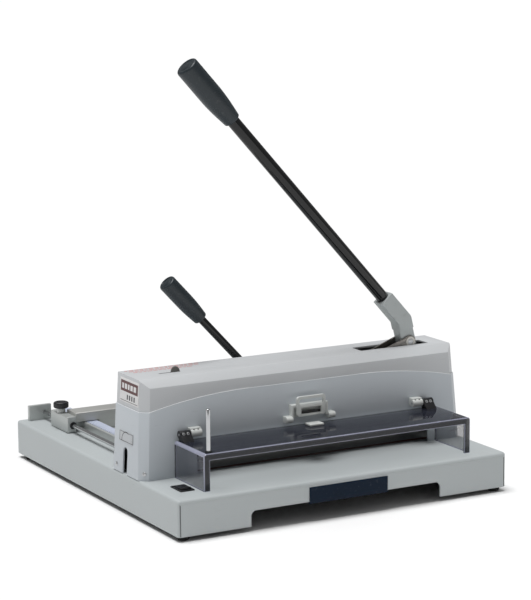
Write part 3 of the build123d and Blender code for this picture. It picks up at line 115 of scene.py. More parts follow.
class CutterDetails(bpy.types.PropertyGroup):
    """Sizes of the cutter's finer details."""

    sheet_edge: length_choice("Sheet edge", "Rounding of the covers' edges", 0.7)
    casting_edge: length_choice("Casting edge", "Rounding of the arm casting", 1.8)
    grip_diameter: length_choice("Grip diameter", "Main lever grip", 38.0)
    grip_neck: length_choice("Grip neck", "Main lever grip at its tube", 28.5)
    grip_length: length_choice("Grip length", "Main lever grip", 122.0)
    clamp_grip_diameter: length_choice("Clamp grip diameter", "Clamp lever grip", 29.6)
    clamp_grip_neck: length_choice("Clamp grip neck", "Clamp lever grip at its rod", 24.0)
    clamp_grip_length: length_choice("Clamp grip length", "Clamp lever grip", 90.0)
    tube_diameter: length_choice("Tube diameter", "Main lever tube", 21.0)
    rod_diameter: length_choice("Rod diameter", "Clamp lever rod", 13.5)
    print_thickness: length_choice("Print thickness", "Height of printed marks", 0.12)
    knob_flutes: bpy.props.IntProperty(
        name="Knob flutes", description="Grip flutes round the gauge knob", default=40, min=8, max=90
    )


class CutterStage(bpy.types.PropertyGroup):
    """Floor, lights and camera."""

    floor_side: length_choice("Floor side", "Side of the floor", 80000.0)
    key_power: bpy.props.FloatProperty(
        name="Key power", description="Strength of the soft sun above", default=2.75, min=0.0
    )
    sky_power: bpy.props.FloatProperty(
        name="Sky power", description="Strength of the even white sky", default=0.28, min=0.0
    )
    camera_place: bpy.props.FloatVectorProperty(
        name="Camera place",
        description="Where the camera stands",
        default=(-1.8243, -3.3602, 0.9945),
        size=3,
        subtype="TRANSLATION",
    )
    camera_turn: bpy.props.FloatVectorProperty(
        name="Camera turn",
        description="Azimuth, elevation and roll of the camera",
        default=(radians(-28.83), radians(10.25), radians(-0.456)),
        size=3,
        subtype="EULER",
    )
    camera_lens: bpy.props.FloatProperty(
        name="Camera lens", description="Focal length in millimetres", default=137.26, min=10.0
    )


def colours():
    """The cutter's colour settings."""
    return bpy.context.scene.cutter_colours


def details():
    """The cutter's detail sizes."""
    return bpy.context.scene.cutter_details


# ---------------------------------------------------------------- shader arithmetic
class Num:
    """A number that varies over a surface. Arithmetic on it adds Math nodes."""

    def __init__(self, tree, socket):
        self.tree = tree
        self.socket = socket

    def math(self, operation, first, second=None):
        """Add one Math node."""
        node = self.tree.nodes.new("ShaderNodeMath")
        node.operation = operation
        for index, value in enumerate((first, second)):
            if isinstance(value, Num):
                self.tree.links.new(value.socket, node.inputs[index])
            elif value is not None:
                node.inputs[index].default_value = value
        return Num(self.tree, node.outputs[0])

    def __add__(self, other):
        return self.math("ADD", self, other)

    def __radd__(self, other):
        return self.math("ADD", other, self)

    def __sub__(self, other):
        return self.math("SUBTRACT", self, other)

    def __rsub__(self, other):
        return self.math("SUBTRACT", other, self)

    def __mul__(self, other):
        return self.math("MULTIPLY", self, other)

    def __rmul__(self, other):
        return self.math("MULTIPLY", other, self)

    def __gt__(self, other):
        return self.math("GREATER_THAN", self, other)

    def __lt__(self, other):
        return self.math("LESS_THAN", self, other)

    def __mod__(self, other):
        return self.math("FLOORED_MODULO", self, other)

    def smooth(self, low, high):
        """0 below low, 1 above high, smooth between."""
        node = self.tree.nodes.new("ShaderNodeMapRange")
        node.interpolation_type = "SMOOTHSTEP"
        self.tree.links.new(self.socket, node.inputs["Value"])
        node.inputs["From Min"].default_value = low
        node.inputs["From Max"].default_value = high
        return Num(self.tree, node.outputs["Result"])


class Finish:
    """A material in the making: its nodes, and its Principled shader."""

    def __init__(self, name, constants=None):
        self.material = bpy.data.materials.new(name)
        self.material.use_nodes = True
        self.tree = self.material.node_tree
        self.shader = self.tree.nodes["Principled BSDF"]
        for socket, value in (constants or {}).items():
            self.shader.inputs[socket].default_value = value
        self.point = self.node("TexCoord").outputs["Object"]

    def node(self, kind, settings=None, **values):
        """Add a node: its settings first, then the values or links of its sockets."""
        node = self.tree.nodes.new("ShaderNode" + kind)
        for setting, value in (settings or {}).items():
            setattr(node, setting, value)
        for socket, value in values.items():
            self.join(value, node.inputs[socket])
        return node

    def join(self, value, socket):
        """Link a value to a socket, or set it there."""
        if isinstance(value, Num):
            value = value.socket
        if isinstance(value, bpy.types.NodeSocket):
            self.tree.links.new(value, socket)
        else:
            socket.default_value = value

    def stretched(self, stretch):
        """Object coordinates with each axis scaled."""
        return self.node("Mapping", Vector=self.point, Scale=stretch).outputs["Vector"]

    def noise(self, scale, detail=2.0, stretch=None):
        """Noise between 0 and 1 with features of 1 / scale metres."""
        place = self.stretched(stretch) if stretch else self.point
        node = self.node("TexNoise", Vector=place, Scale=scale, Detail=detail)
        return Num(self.tree, node.outputs[0])

    def along(self, axis):
        """One object coordinate, in metres."""
        node = self.node("SeparateXYZ", Vector=self.point)
        return Num(self.tree, node.outputs[axis])

    def mix(self, amount, low, high):
        """Colour between two colours."""
        node = self.tree.nodes.new("ShaderNodeMix")
        node.data_type = "RGBA"
        self.join(amount, node.inputs[0])
        for value, socket in ((low, node.inputs[6]), (high, node.inputs[7])):
            self.join(opaque(value), socket)
        return node.outputs[2]

    def done(self, colour=None, roughness=None, height=None, depth=0.0001, strength=1.0):
        """Join the maps to the shader and give the material."""
        if colour is not None:
            self.join(opaque(colour), self.shader.inputs["Base Color"])
        if roughness is not None:
            self.join(roughness, self.shader.inputs["Roughness"])
        if height is not None:
            bump = self.node("Bump", Strength=strength, Distance=depth, Height=height)
            self.join(bump.outputs["Normal"], self.shader.inputs["Normal"])
        return self.material


def opaque(colour):
    """A colour of three numbers as one of four; a socket stays as it is."""
    if isinstance(colour, bpy.types.NodeSocket):
        return colour
    return (*tuple(colour)[:3], 1.0)


def toned(colour, factor):
    """A colour made darker or lighter."""
    return tuple(min(channel * factor, 1.0) for channel in tuple(colour)[:3])


# ---------------------------------------------------------------- finishes
def finish_of(name, maker, *settings):
    """A material by its name, made once."""
    if name not in FINISHES:
        FINISHES[name] = maker(name, *settings)
    return FINISHES[name]


def textured_coat(name, colour, roughness=0.48):
    """Powder coat: fine orange peel, slight mottling, a few faint scuffs."""
    finish = Finish(name, {"Specular IOR Level": 0.45})
    cloud = finish.noise(7.0, detail=4.0)
    peel = finish.noise(620.0, detail=2.0)
    grain = finish.noise(2100.0, detail=1.0)
    scuff = finish.noise(30.0, detail=6.0, stretch=(1.0, 1.0, 5.0)).smooth(0.66, 0.74)
    tone = finish.mix(cloud * 0.7 + grain * 0.3, toned(colour, 0.93), toned(colour, 1.06))
    worn = finish.mix(scuff * 0.16, tone, toned(colour, 0.72))
    rough = roughness + (cloud - 0.5) * 0.10 + (peel - 0.5) * 0.08 + scuff * 0.12
    return finish.done(worn, rough, peel * 0.7 + grain * 0.3, depth=0.00006, strength=0.55)


def satin_moulding(name, colour, roughness=0.42, grain=1500.0, shine=0.5):
    """Moulded plastic with a fine spark-eroded grain and handling shine."""
    finish = Finish(name, {"Specular IOR Level": shine})
    cloud = finish.noise(45.0, detail=4.0)
    texture = finish.noise(grain, detail=2.0)
    dust = finish.noise(160.0, detail=5.0).smooth(0.58, 0.80)
    tone = finish.mix(cloud, toned(colour, 0.82), toned(colour, 1.18))
    dusty = finish.mix(dust * 0.05, tone, (0.55, 0.56, 0.56))
    rough = roughness + (cloud - 0.5) * 0.22 + dust * 0.10
    return finish.done(dusty, rough, texture, depth=0.00008, strength=0.5)


def gloss_enamel(name, colour):
    """Deep gloss enamel on a drawn tube, with a slight waviness and fine dust."""
    finish = Finish(name, {"Specular IOR Level": 0.45})
    wave = finish.noise(55.0, detail=2.0)
    dust = finish.noise(900.0, detail=3.0).smooth(0.66, 0.80)
    tone = finish.mix(dust * 0.10, toned(colour, 1.0), (0.20, 0.21, 0.21))
    return finish.done(tone, 0.05 + wave * 0.05 + dust * 0.2, wave, depth=0.00012, strength=0.2)


def cast_coat(name, colour):
    """Coated die casting: soft satin with cast mottling and a little grime."""
    finish = Finish(name, {"Metallic": 0.15, "Specular IOR Level": 0.5})
    cloud = finish.noise(38.0, detail=4.0)
    cast = finish.noise(420.0, detail=3.0)
    grime = finish.noise(85.0, detail=6.0).smooth(0.60, 0.76)
    tone = finish.mix(cloud, toned(colour, 0.90), toned(colour, 1.10))
    used = finish.mix(grime * 0.22, tone, toned(colour, 0.55))
    return finish.done(used, 0.40 + (cloud - 0.5) * 0.2 + grime * 0.15, cast, depth=0.00012, strength=0.5)


def ground_steel(name, colour, stretch=(12.0, 900.0, 900.0)):
    """Ground steel with fine lines along its length and faint stains."""
    finish = Finish(name, {"Metallic": 1.0})
    lines = finish.noise(1.0, detail=3.0, stretch=stretch)
    stain = finish.noise(24.0, detail=5.0)
    tone = finish.mix(lines * 0.5 + stain * 0.5, toned(colour, 0.78), toned(colour, 1.12))
    return finish.done(tone, 0.22 + lines * 0.16 + stain * 0.10, lines, depth=0.00003, strength=0.5)


def polished_chrome(name, colour):
    """Chromed bar with thin smudges."""
    finish = Finish(name, {"Metallic": 1.0})
    smudge = finish.noise(70.0, detail=5.0).smooth(0.45, 0.75)
    tone = finish.mix(smudge, toned(colour, 1.0), toned(colour, 0.88))
    return finish.done(tone, 0.07 + smudge * 0.14, smudge, depth=0.00002, strength=0.2)


def blackened_steel(name, colour):
    """Oil-blackened steel, rubbed lighter in patches."""
    finish = Finish(name, {"Metallic": 0.75})
    cloud = finish.noise(40.0, detail=5.0)
    rub = finish.noise(120.0, detail=4.0).smooth(0.56, 0.74)
    tone = finish.mix(cloud, toned(colour, 0.75), toned(colour, 1.25))
    worn = finish.mix(rub * 0.35, tone, toned(colour, 2.4))
    return finish.done(worn, 0.46 - rub * 0.12 + cloud * 0.1, cloud, depth=0.00008, strength=0.4)


def smoked_clear(name, colour, alpha, shine, roughness=0.06):
    """Smoked clear sheet with faint hairline scratches and finger marks."""
    finish = Finish(name, {"Alpha": alpha, "Specular IOR Level": shine, "IOR": 1.49})
    marks = finish.noise(60.0, detail=5.0).smooth(0.52, 0.74)
    hair = finish.noise(1.0, detail=2.0, stretch=(30.0, 1300.0, 1300.0)).smooth(0.66, 0.72)
    tone = finish.mix(marks * 0.25 + hair * 0.1, toned(colour, 1.0), toned(colour, 2.2))
    return finish.done(tone, roughness + marks * 0.10 + hair * 0.08, hair, depth=0.00002, strength=0.2)


def soft_rubber(name, colour):
    """Matt black rubber, paler where it has rubbed."""
    finish = Finish(name, {"Specular IOR Level": 0.3})
    cloud = finish.noise(90.0, detail=5.0)
    tone = finish.mix(cloud, toned(colour, 0.8), toned(colour, 1.9))
    return finish.done(tone, 0.72 + cloud * 0.14, finish.noise(1700.0), depth=0.0001, strength=0.6)


def satin_alloy(name, colour, stretch=(900.0, 14.0, 900.0)):
    """Satin anodised profile with drawing lines along its length."""
    finish = Finish(name, {"Metallic": 0.55, "Specular IOR Level": 0.5})
    lines = finish.noise(1.0, detail=3.0, stretch=stretch)
    cloud = finish.noise(26.0, detail=4.0)
    tone = finish.mix(lines * 0.4 + cloud * 0.6, toned(colour, 0.88), toned(colour, 1.10))
    return finish.done(tone, 0.36 + cloud * 0.12, lines, depth=0.00003, strength=0.5)


def printed_scale(name, paper, ink, start, edge):
    """Printed scale: a mark each millimetre, longer ones each five and ten."""
    finish = Finish(name, {"Specular IOR Level": 0.4, "Coat Weight": 0.3})
    run = (finish.along("Y") - start) * 1000.0
    across = (finish.along("X") - edge) * 1000.0
    marks = ((run % 1.0) < 0.22) * (across < 3.5)
    fives = ((run % 5.0) < 0.30) * (across < 6.0)
    tens = ((run % 10.0) < 0.42) * (across < 9.0)
    inked = marks + fives + tens
    cloud = finish.noise(30.0, detail=4.0)
    face = finish.mix(cloud, toned(paper, 0.94), toned(paper, 1.05))
    tone = finish.mix(inked > 0.5, face, ink)
    return finish.done(tone, 0.30 + cloud * 0.12, finish.noise(700.0), depth=0.00002, strength=0.3)


def flat_print(name, colour):
    """Printed ink or foil, and the pale painted highlight along the housing rim: even, with faint mottling.
    """
    finish = Finish(name, {"Specular IOR Level": 0.4})
    cloud = finish.noise(120.0, detail=4.0)
    tone = finish.mix(cloud, toned(colour, 0.90), toned(colour, 1.08))
    return finish.done(tone, 0.34 + cloud * 0.14, finish.noise(900.0), depth=0.00002, strength=0.3)


def table_coat():
    """Coat of the base."""
    return finish_of("table_coat", textured_coat, colours().table)


def housing_coat():
    """Coat of the lower head housing."""
    return finish_of("housing_coat", textured_coat, colours().housing)


def cover_coat():
    """Coat of the upper head cover."""
    return finish_of("cover_coat", textured_coat, colours().cover)


def black_moulding():
    """Black plastic; it also gives the painted shade of the hinge screw holes and round the gauge rod."""
    return finish_of("black_moulding", satin_moulding, colours().black, 0.36)


def white_moulding():
    """White plastic."""
    return finish_of("white_moulding", satin_moulding, colours().white, 0.38)


def bright_steel():
    """Ground steel of pins, screws and the blade."""
    return finish_of("bright_steel", ground_steel, (0.56, 0.57, 0.58))


def dark_steel():
    """Blackened steel of the inner frame."""
    return finish_of("dark_steel", blackened_steel, (0.035, 0.037, 0.040))


def gauge_alloy():
    """Satin alloy of the gauges."""
    return finish_of("gauge_alloy", satin_alloy, (0.52, 0.54, 0.53))


def chrome():
    """Chromed bars."""
    return finish_of("chrome", polished_chrome, (0.50, 0.51, 0.52))


# ---------------------------------------------------------------- mesh work
def copy_of(node, *others):
    """A bmesh copy of CAD nodes with their loose triangles merged into whole faces.

    Nodes that meet face to face become one skin: the faces between them go.
    """
    bm = bmesh.new()
    for name in (node, *others):
        bm.from_mesh(frame["nodes"][name].data)
    bmesh.ops.remove_doubles(bm, verts=bm.verts, dist=0.002 * MM)
    if others:
        drop_joints(bm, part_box(node))
    bmesh.ops.dissolve_limit(
        bm, angle_limit=radians(0.3), verts=bm.verts, edges=bm.edges, use_dissolve_boundaries=False
    )
    return bm


def drop_joints(bm, box):
    """Delete the faces that lie in the two end planes of a box."""
    inner = [
        face for face in bm.faces for corner in box
        if all(abs(vert.co.x - corner.x) < 0.01 * MM for vert in face.verts)
    ]
    bmesh.ops.delete(bm, geom=inner, context="FACES_ONLY")
    bmesh.ops.remove_doubles(bm, verts=bm.verts, dist=0.01 * MM)


def soften(bm, width, segments=3, sharper_than=32.0):
    """Round every edge that turns by more than an angle."""
    limit = radians(sharper_than)
    edges = [edge for edge in bm.edges if edge.is_manifold and edge.calc_face_angle() > limit]
    if edges:
        bmesh.ops.bevel(
            bm, geom=edges, offset=width, offset_type="OFFSET", segments=segments, profile=0.5,
            affect="EDGES", material=-1, clamp_overlap=True,
        )


def block(bm, low, high):
    """Add a box between two corners."""
    middle = (Vector(low) + Vector(high)) / 2
    size = Vector(high) - Vector(low)
    matrix = Matrix.Translation(middle) @ Matrix.Diagonal((*size, 1.0))
    return bmesh.ops.create_cube(bm, size=1.0, matrix=matrix)["verts"]


def frame_at(origin, axis, side=None):
    """Matrix whose Z runs along an axis from an origin."""
    up = Vector(axis).normalized()
    across = Vector(side) if side else up.orthogonal()
    right = (across - up * across.dot(up)).normalized()
    matrix = Matrix((right, up.cross(right), up)).transposed().to_4x4()
    return Matrix.Translation(Vector(origin)) @ matrix


def round_bar(bm, start, end, radius, steps=ROUND_STEPS):
    """Add a round bar between two points."""
    start = Vector(start)
    run = Vector(end) - start
    matrix = frame_at(start + run / 2, run)
    made = bmesh.ops.create_cone(
        bm, cap_ends=True, segments=steps, radius1=radius, radius2=radius, depth=run.length,
        matrix=matrix,
    )
    return made["verts"]


def turned(bm, outline, origin, axis, steps=ROUND_STEPS):
    """Add a turned shape: an outline of (radius, height) points spun round an axis."""
    before = set(bm.verts)
    verts = [bm.verts.new((radius, 0.0, height)) for radius, height in outline]
    edges = [bm.edges.new(pair) for pair in zip(verts, verts[1:])]
    bmesh.ops.spin(
        bm, geom=verts + edges, cent=(0, 0, 0), axis=(0, 0, 1), angle=2 * pi, steps=steps,
        use_merge=True, use_duplicate=False,
    )
    shape = [vert for vert in bm.verts if vert not in before]
    bmesh.ops.remove_doubles(bm, verts=shape, dist=0.002 * MM)
    shape = [vert for vert in bm.verts if vert not in before]
    bmesh.ops.transform(bm, matrix=frame_at(origin, axis), verts=shape)
    return shape


def width_of(face):
    """Width of a long narrow face, about half the side of a square one."""
    return 2 * face.calc_area() / max(face.calc_perimeter(), 1e-9)


def tidy_normals(bm):
    """Point every face outwards."""
    bmesh.ops.recalc_face_normals(bm, faces=bm.faces)


def publish(bm, name, material, smooth_below=38.0, extra=()):
    """Turn a bmesh into a smooth-shaded object with its materials."""
    mesh = bpy.data.meshes.new(name)
    bm.to_mesh(mesh)
    bm.free()
    for surface in (material, *extra):
        mesh.materials.append(surface)
    mesh.shade_smooth()
    mesh.set_sharp_from_angle(angle=radians(smooth_below))
    piece = bpy.data.objects.new(name, mesh)
    bpy.context.scene.collection.objects.link(piece)
    return piece


def stand_for(piece, node, *others):
    """Let a piece take the place of CAD nodes."""
    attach(piece, BODY_OF[node])
    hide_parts(node, *others)
    return piece


def dress(piece, node):
    """Let a piece ride along with a CAD node that stays."""
    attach(piece, BODY_OF[node])
    return piece


def coat(node, material):
    """Give a CAD node a better material."""
    for slot in frame["nodes"][node].material_slots:
        slot.material = material


def softened_node(node, material, width, segments=3, others=()):
    """Replace a CAD node, and others that meet it, by a copy with rounded edges."""
    bm = copy_of(node, *others)
    soften(bm, width, segments)
    return stand_for(publish(bm, node + "_skin", material), node, *others)


def bar_line(node, slope, radius):
    """Start and end of a round bar that leans left in the XZ plane, from its node's box."""
    low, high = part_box(node)
    middle = (low + high) / 2
    length = (high.z - low.z - 2 * radius * cos(slope)) / sin(slope)
    run = Vector((-cos(slope), 0.0, sin(slope))) * length
    return middle - run / 2, middle + run / 2


def islands(node):
    """Boxes of a node's separate solids."""
    bm = copy_of(node)
    left = set(bm.verts)
    boxes = []
    while left:
        group = {left.pop()}
        reach = list(group)
        while reach:
            vert = reach.pop()
            for edge in vert.link_edges:
                other = edge.other_vert(vert)
                if other in left:
                    left.remove(other)
                    group.add(other)
                    reach.append(other)
        low = Vector([min(vert.co[axis] for vert in group) for axis in range(3)])
        high = Vector([max(vert.co[axis] for vert in group) for axis in range(3)])
        boxes.append((low, high))
    bm.free()
    return sorted(boxes, key=lambda corners: tuple(corners[0]))


# ---------------------------------------------------------------- base
class CUTTER_OT_base(bpy.types.Operator):
    """Base shell, front panel, carrying grip and rubber feet"""

    bl_idname = "cutter.base"
    bl_label = "Base"

    def execute(self, context):
        softened_node("base_shell", table_coat(), details().sheet_edge)
        softened_node("arch_strip", table_coat(), 0.5 * MM, others=("front_panel",))
        blue = finish_of("front_grip_moulding", satin_moulding, colours().front_grip, 0.34, 1200.0, 0.12)
        softened_node("front_grip", blue, 0.8 * MM)
        self.feet()
        self.corner_seams()
        return {"FINISHED"}

    def corner_seams(self):
        """Dark upright joints where the front panel meets the sides of the shell."""
        low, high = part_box("front_panel")
        matrix = frame_at((low.x, low.y, low.z), (0.0, -1.0, 0.0), side=(1.0, 0.0, 0.0))
        width = (high.x - low.x) / MM
        tall = (high.z - low.z) / MM
        bm = bmesh.new()
        strips(bm, matrix, ((0.2, 1.0, 1.1, tall - 2.0), (width - 1.3, 1.0, 1.1, tall - 2.0)), 0.08 * MM)
        dress(publish(bm, "corner_seams", black_moulding()), "front_panel")

    def feet(self):
        """Round bumpers with a soft lower rim and a waist."""
        bm = bmesh.new()
        for low, high in islands("feet"):
            radius = (high.x - low.x) / 2
            tall = high.z - low.z
            outline = (
                (0.0, 0.0), (0.74 * radius, 0.0), (0.92 * radius, 0.18 * tall),
                (1.0 * radius, 0.46 * tall), (0.94 * radius, 0.74 * tall), (0.94 * radius, tall), (0.0, tall),
            )
            centre = ((low.x + high.x) / 2, (low.y + high.y) / 2, low.z)
            turned(bm, outline, centre, (0, 0, 1), steps=40)
        tidy_normals(bm)
        soften(bm, 0.5 * MM, 2)
        rubber = finish_of("foot_rubber", soft_rubber, (0.012, 0.012, 0.012))
        stand_for(publish(bm, "rubber_feet", rubber), "feet")


# ---------------------------------------------------------------- head
def screw_outline(radius, height):
    """Pan head with a round socket."""
    return (
        (0.0, 0.0), (radius, 0.0), (radius, 0.40 * height), (0.86 * radius, 0.78 * height),
        (0.58 * radius, height), (0.40 * radius, height), (0.36 * radius, 0.35 * height),
        (0.0, 0.35 * height),
    )


def end_face(inset=0.0):
    """Matrix of the head's left end: X to the front, Y up along the wall, Z outwards."""
    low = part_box("housing_ends")[0]
    normal = Vector((-cos(HEAD_DRAFT), 0.0, sin(HEAD_DRAFT)))
    return frame_at(low - normal * inset, normal, side=(0.0, -1.0, 0.0))


def strips(bm, matrix, boxes, thickness):
    """Add thin flat blocks: (x, y, width, height) on a plane, standing up by a thickness."""
    for x, y, width, height in boxes:
        low = (x * MM, y * MM, -0.05 * MM)
        high = ((x + width) * MM, (y + height) * MM, thickness)
        verts = block(bm, low, high)
        bmesh.ops.transform(bm, matrix=matrix, verts=verts)


class CUTTER_OT_head(bpy.types.Operator):
    """Lower housing, upper cover, rear cover and their screws"""

    bl_idname = "cutter.head"
    bl_label = "Head"

    def execute(self, context):
        edge = details().sheet_edge
        self.housing(1.5 * edge)
        softened_node("upper_cover", cover_coat(), 1.3 * edge)
        softened_node("rear_cover", housing_coat(), 0.5 * edge)
        bm = bmesh.new()
        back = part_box("rear_cover")[1].y
        for low, high in islands("cover_screws"):
            middle = (low + high) / 2
            if low.y > back - 0.1 * MM:
                axis = Vector((0.0, 1.0, 0.0))
                foot = Vector((middle.x, low.y, middle.z))
            else:
                side = 1.0 if middle.x > 0 else -1.0
                corner = -1.0 if middle.y < back - 0.06 else 0.0
                axis = Vector((side, corner, 2 * sin(HEAD_DRAFT))).normalized()
                foot = middle - axis * 0.6 * MM
            turned(bm, screw_outline(3.5 * MM, 1.2 * MM), foot, axis, steps=24)
        tidy_normals(bm)
        stand_for(publish(bm, "cover_screw_heads", bright_steel()), "cover_screws")
        return {"FINISHED"}

    def housing(self, edge):
        """Lower housing; the narrow up-facing faces of its rim under the cover carry a pale painted
        highlight.
        """
        rim_highlight = finish_of("bare_rim", flat_print, (0.88, 0.89, 0.90))
        bm = copy_of("lower_housing", "housing_ends")
        soften(bm, edge, 3)
        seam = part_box("upper_cover")[0].z - 2 * edge
        # Narrow up-facing faces above the seam get the pale painted highlight colour.
        for face in bm.faces:
            narrow = width_of(face) < 2 * edge
            if narrow and face.normal.z > 0.1 and face.calc_center_median().z > seam:
                face.material_index = 1
        piece = publish(bm, "lower_housing_skin", housing_coat(), extra=(rim_highlight,))
        stand_for(piece, "lower_housing", "housing_ends")


class CUTTER_OT_labels(bpy.types.Operator):
    """Plates and printed marks on the head, all with plain generic shapes"""

    bl_idname = "cutter.labels"
    bl_label = "Labels"

    # x, y, width and height on the head's end, in millimetres
    LABEL = (-91.0, 116.2, 68.0, 38.5)
    SIGN = (-85.0, 52.2, 50.0, 17.5)
    LEDGE = 1.2 * MM             # the lower housing stands out this far under the cover
    PLATE_T = 0.8 * MM
    BLOCK_WIDTHS = (6.5, 8.0, 6.0, 8.5, 9.0)
    BLOCK_GAP = 3.2

    def execute(self, context):
        rise = details().print_thickness
        paper = finish_of("label_paper", flat_print, (0.72, 0.71, 0.71))
        bm = copy_of("end_labels")
        soften(bm, 0.2 * MM, 2)
        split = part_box("end_labels")[1].z - self.LABEL[3] * 1.3 * MM
        for face in bm.faces:
            face.material_index = 1 if face.calc_center_median().z < split else 0
        plate = finish_of("sign_grey", flat_print, (0.47, 0.49, 0.51))
        stand_for(publish(bm, "end_plates", paper, extra=(plate,)), "end_labels")
        upper = end_face(self.LEDGE * cos(HEAD_DRAFT) - self.PLATE_T)
        x, y, wide = self.LABEL[:3]
        maroon = finish_of("label_maroon", flat_print, (0.085, 0.018, 0.018))
        self.mark("label_band", upper, [(x + 3, y + 17.5, wide - 6, 17.5)], maroon, rise)
        marks = []
        place = x + 8
        for width in self.BLOCK_WIDTHS:
            marks.append((place, y + 22, width, 8.5))
            place += width + self.BLOCK_GAP
        self.mark("label_blocks", upper, marks, paper, 1.6 * rise)
        ink = finish_of("label_ink", flat_print, (0.03, 0.03, 0.035))
        bars = [(x + 26 + 8.2 * index, y + 5.5, 4.2, 8.0) for index in range(4)]
        self.mark("label_bars", upper, bars + [(x + 3, y + 2.2, wide - 6, 0.8)], ink, rise)
        self.sign(end_face(-self.PLATE_T), ink, rise)
        self.warning_rows(rise)
        return {"FINISHED"}

    def mark(self, name, matrix, boxes, material, rise):
        """Printed blocks on a plate."""
        bm = bmesh.new()
        strips(bm, matrix, boxes, rise)
        dress(publish(bm, name, material), "end_labels")

    def sign(self, matrix, ink, rise):
        """A thin border round an arc of 120 degrees."""
        x, y, wide, tall = self.SIGN
        line = 0.7
        radius = 15.5 * MM
        bm = bmesh.new()
        stand = Matrix.Translation((-radius, 0.0, rise / 2)) @ Matrix.Rotation(pi / 2, 4, "X")
        bmesh.ops.create_grid(
            bm, x_segments=1, y_segments=1, size=0.5, matrix=stand @ Matrix.Diagonal((1.2 * MM, rise, 1, 1))
        )
        bmesh.ops.spin(
            bm, geom=[*bm.verts, *bm.edges, *bm.faces], cent=(0, 0, 0), axis=(0, 0, -1),
            angle=radians(120), steps=20,
        )
        centre = Matrix.Translation(((x + wide / 2) * MM, (y + 1.5) * MM, 0.0))
        bmesh.ops.transform(bm, matrix=matrix @ centre, verts=bm.verts)
        border = [
            (x + 1, y + 1, wide - 2, line), (x + 1, y + tall - 1 - line, wide - 2, line),
            (x + 1, y + 1, line, tall - 2), (x + wide - 1 - line, y + 1, line, tall - 2),
        ]
        strips(bm, matrix, border, rise)
        tidy_normals(bm)
        dress(publish(bm, "sign_arc", ink), "end_labels")

    def warning_rows(self, rise):
        """Three rows of plain pale red strokes of uneven widths on top of the cover."""
        low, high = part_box("upper_cover")
        matrix = Matrix.Translation((low.x, low.y, high.z))
        back_row, row_gap, stroke_gap, stroke_tall = 88.0, 8.5, 2.2, 3.6
        strokes = []
        for row, (start, count) in enumerate(((12.0, 15), (16.0, 14), (20.0, 12))):
            place = start
            for index in range(count):
                width = 5.0 + 3.5 * ((index * 7 + row * 3) % 4) / 3
                strokes.append((place, back_row - row_gap * row, width, stroke_tall))
                place += width + stroke_gap
        bm = bmesh.new()
        strips(bm, matrix, strokes, rise)
        red = finish_of("faded_red", flat_print, colours().print_red)
        dress(publish(bm, "cover_print", red), "upper_cover")


# ---------------------------------------------------------------- levers
def grip_outline(length, body, neck, bore):
    """Outline of a moulded grip from its neck to its ringed end cap."""
    body_r = body / 2
    neck_r = neck / 2
    edge = 0.11 * body
    lip = 1.5 * MM
    mouth = bore / 2 + 0.3 * MM
    outline = [
        (0.0, 4 * MM), (mouth, 4 * MM), (mouth, 0.4 * MM), (mouth + 0.4 * MM, 0.0), (neck_r - lip, 0.0),
    ]
    for step in range(1, 5):
        turn = pi / 2 * step / 4
        outline.append((neck_r - lip + lip * sin(turn), lip - lip * cos(turn)))
    for step in range(1, 13):
        share = step / 12
        outline.append((neck_r + (body_r - neck_r) * sin(pi / 2 * share), lip + (0.5 * length - lip) * share))
    for step in range(0, 9):
        turn = pi / 2 * step / 8
        outline.append((body_r - edge + edge * cos(turn), length - edge + edge * sin(turn)))
    ring = body_r - edge
    outline += [
        (0.86 * ring, length), (0.80 * ring, length - 0.7 * MM), (0.68 * ring, length - 0.7 * MM),
        (0.62 * ring, length - 0.2 * MM), (0.0, length - 0.1 * MM),
    ]
    return outline


def lever_bar(node, name, slope, diameter, material):
    """Smooth round bar along a lever; gives its far end and its direction."""
    start, end = bar_line(node, slope, diameter / 2)
    bm = bmesh.new()
    round_bar(bm, start, end, diameter / 2)
    soften(bm, 0.6 * MM, 2)
    stand_for(publish(bm, name, material), node)
    return end, (end - start).normalized()


def lever_handle(node, name, tip, run, length, body, neck, bore):
    """Moulded grip that ends at a tip."""
    grip = finish_of("grip_moulding", satin_moulding, colours().grips, 0.40, 1300.0)
    bm = bmesh.new()
    turned(bm, grip_outline(length, body, neck, bore), tip - run * length, run, steps=72)
    tidy_normals(bm)
    stand_for(publish(bm, name, grip, 45.0), node)


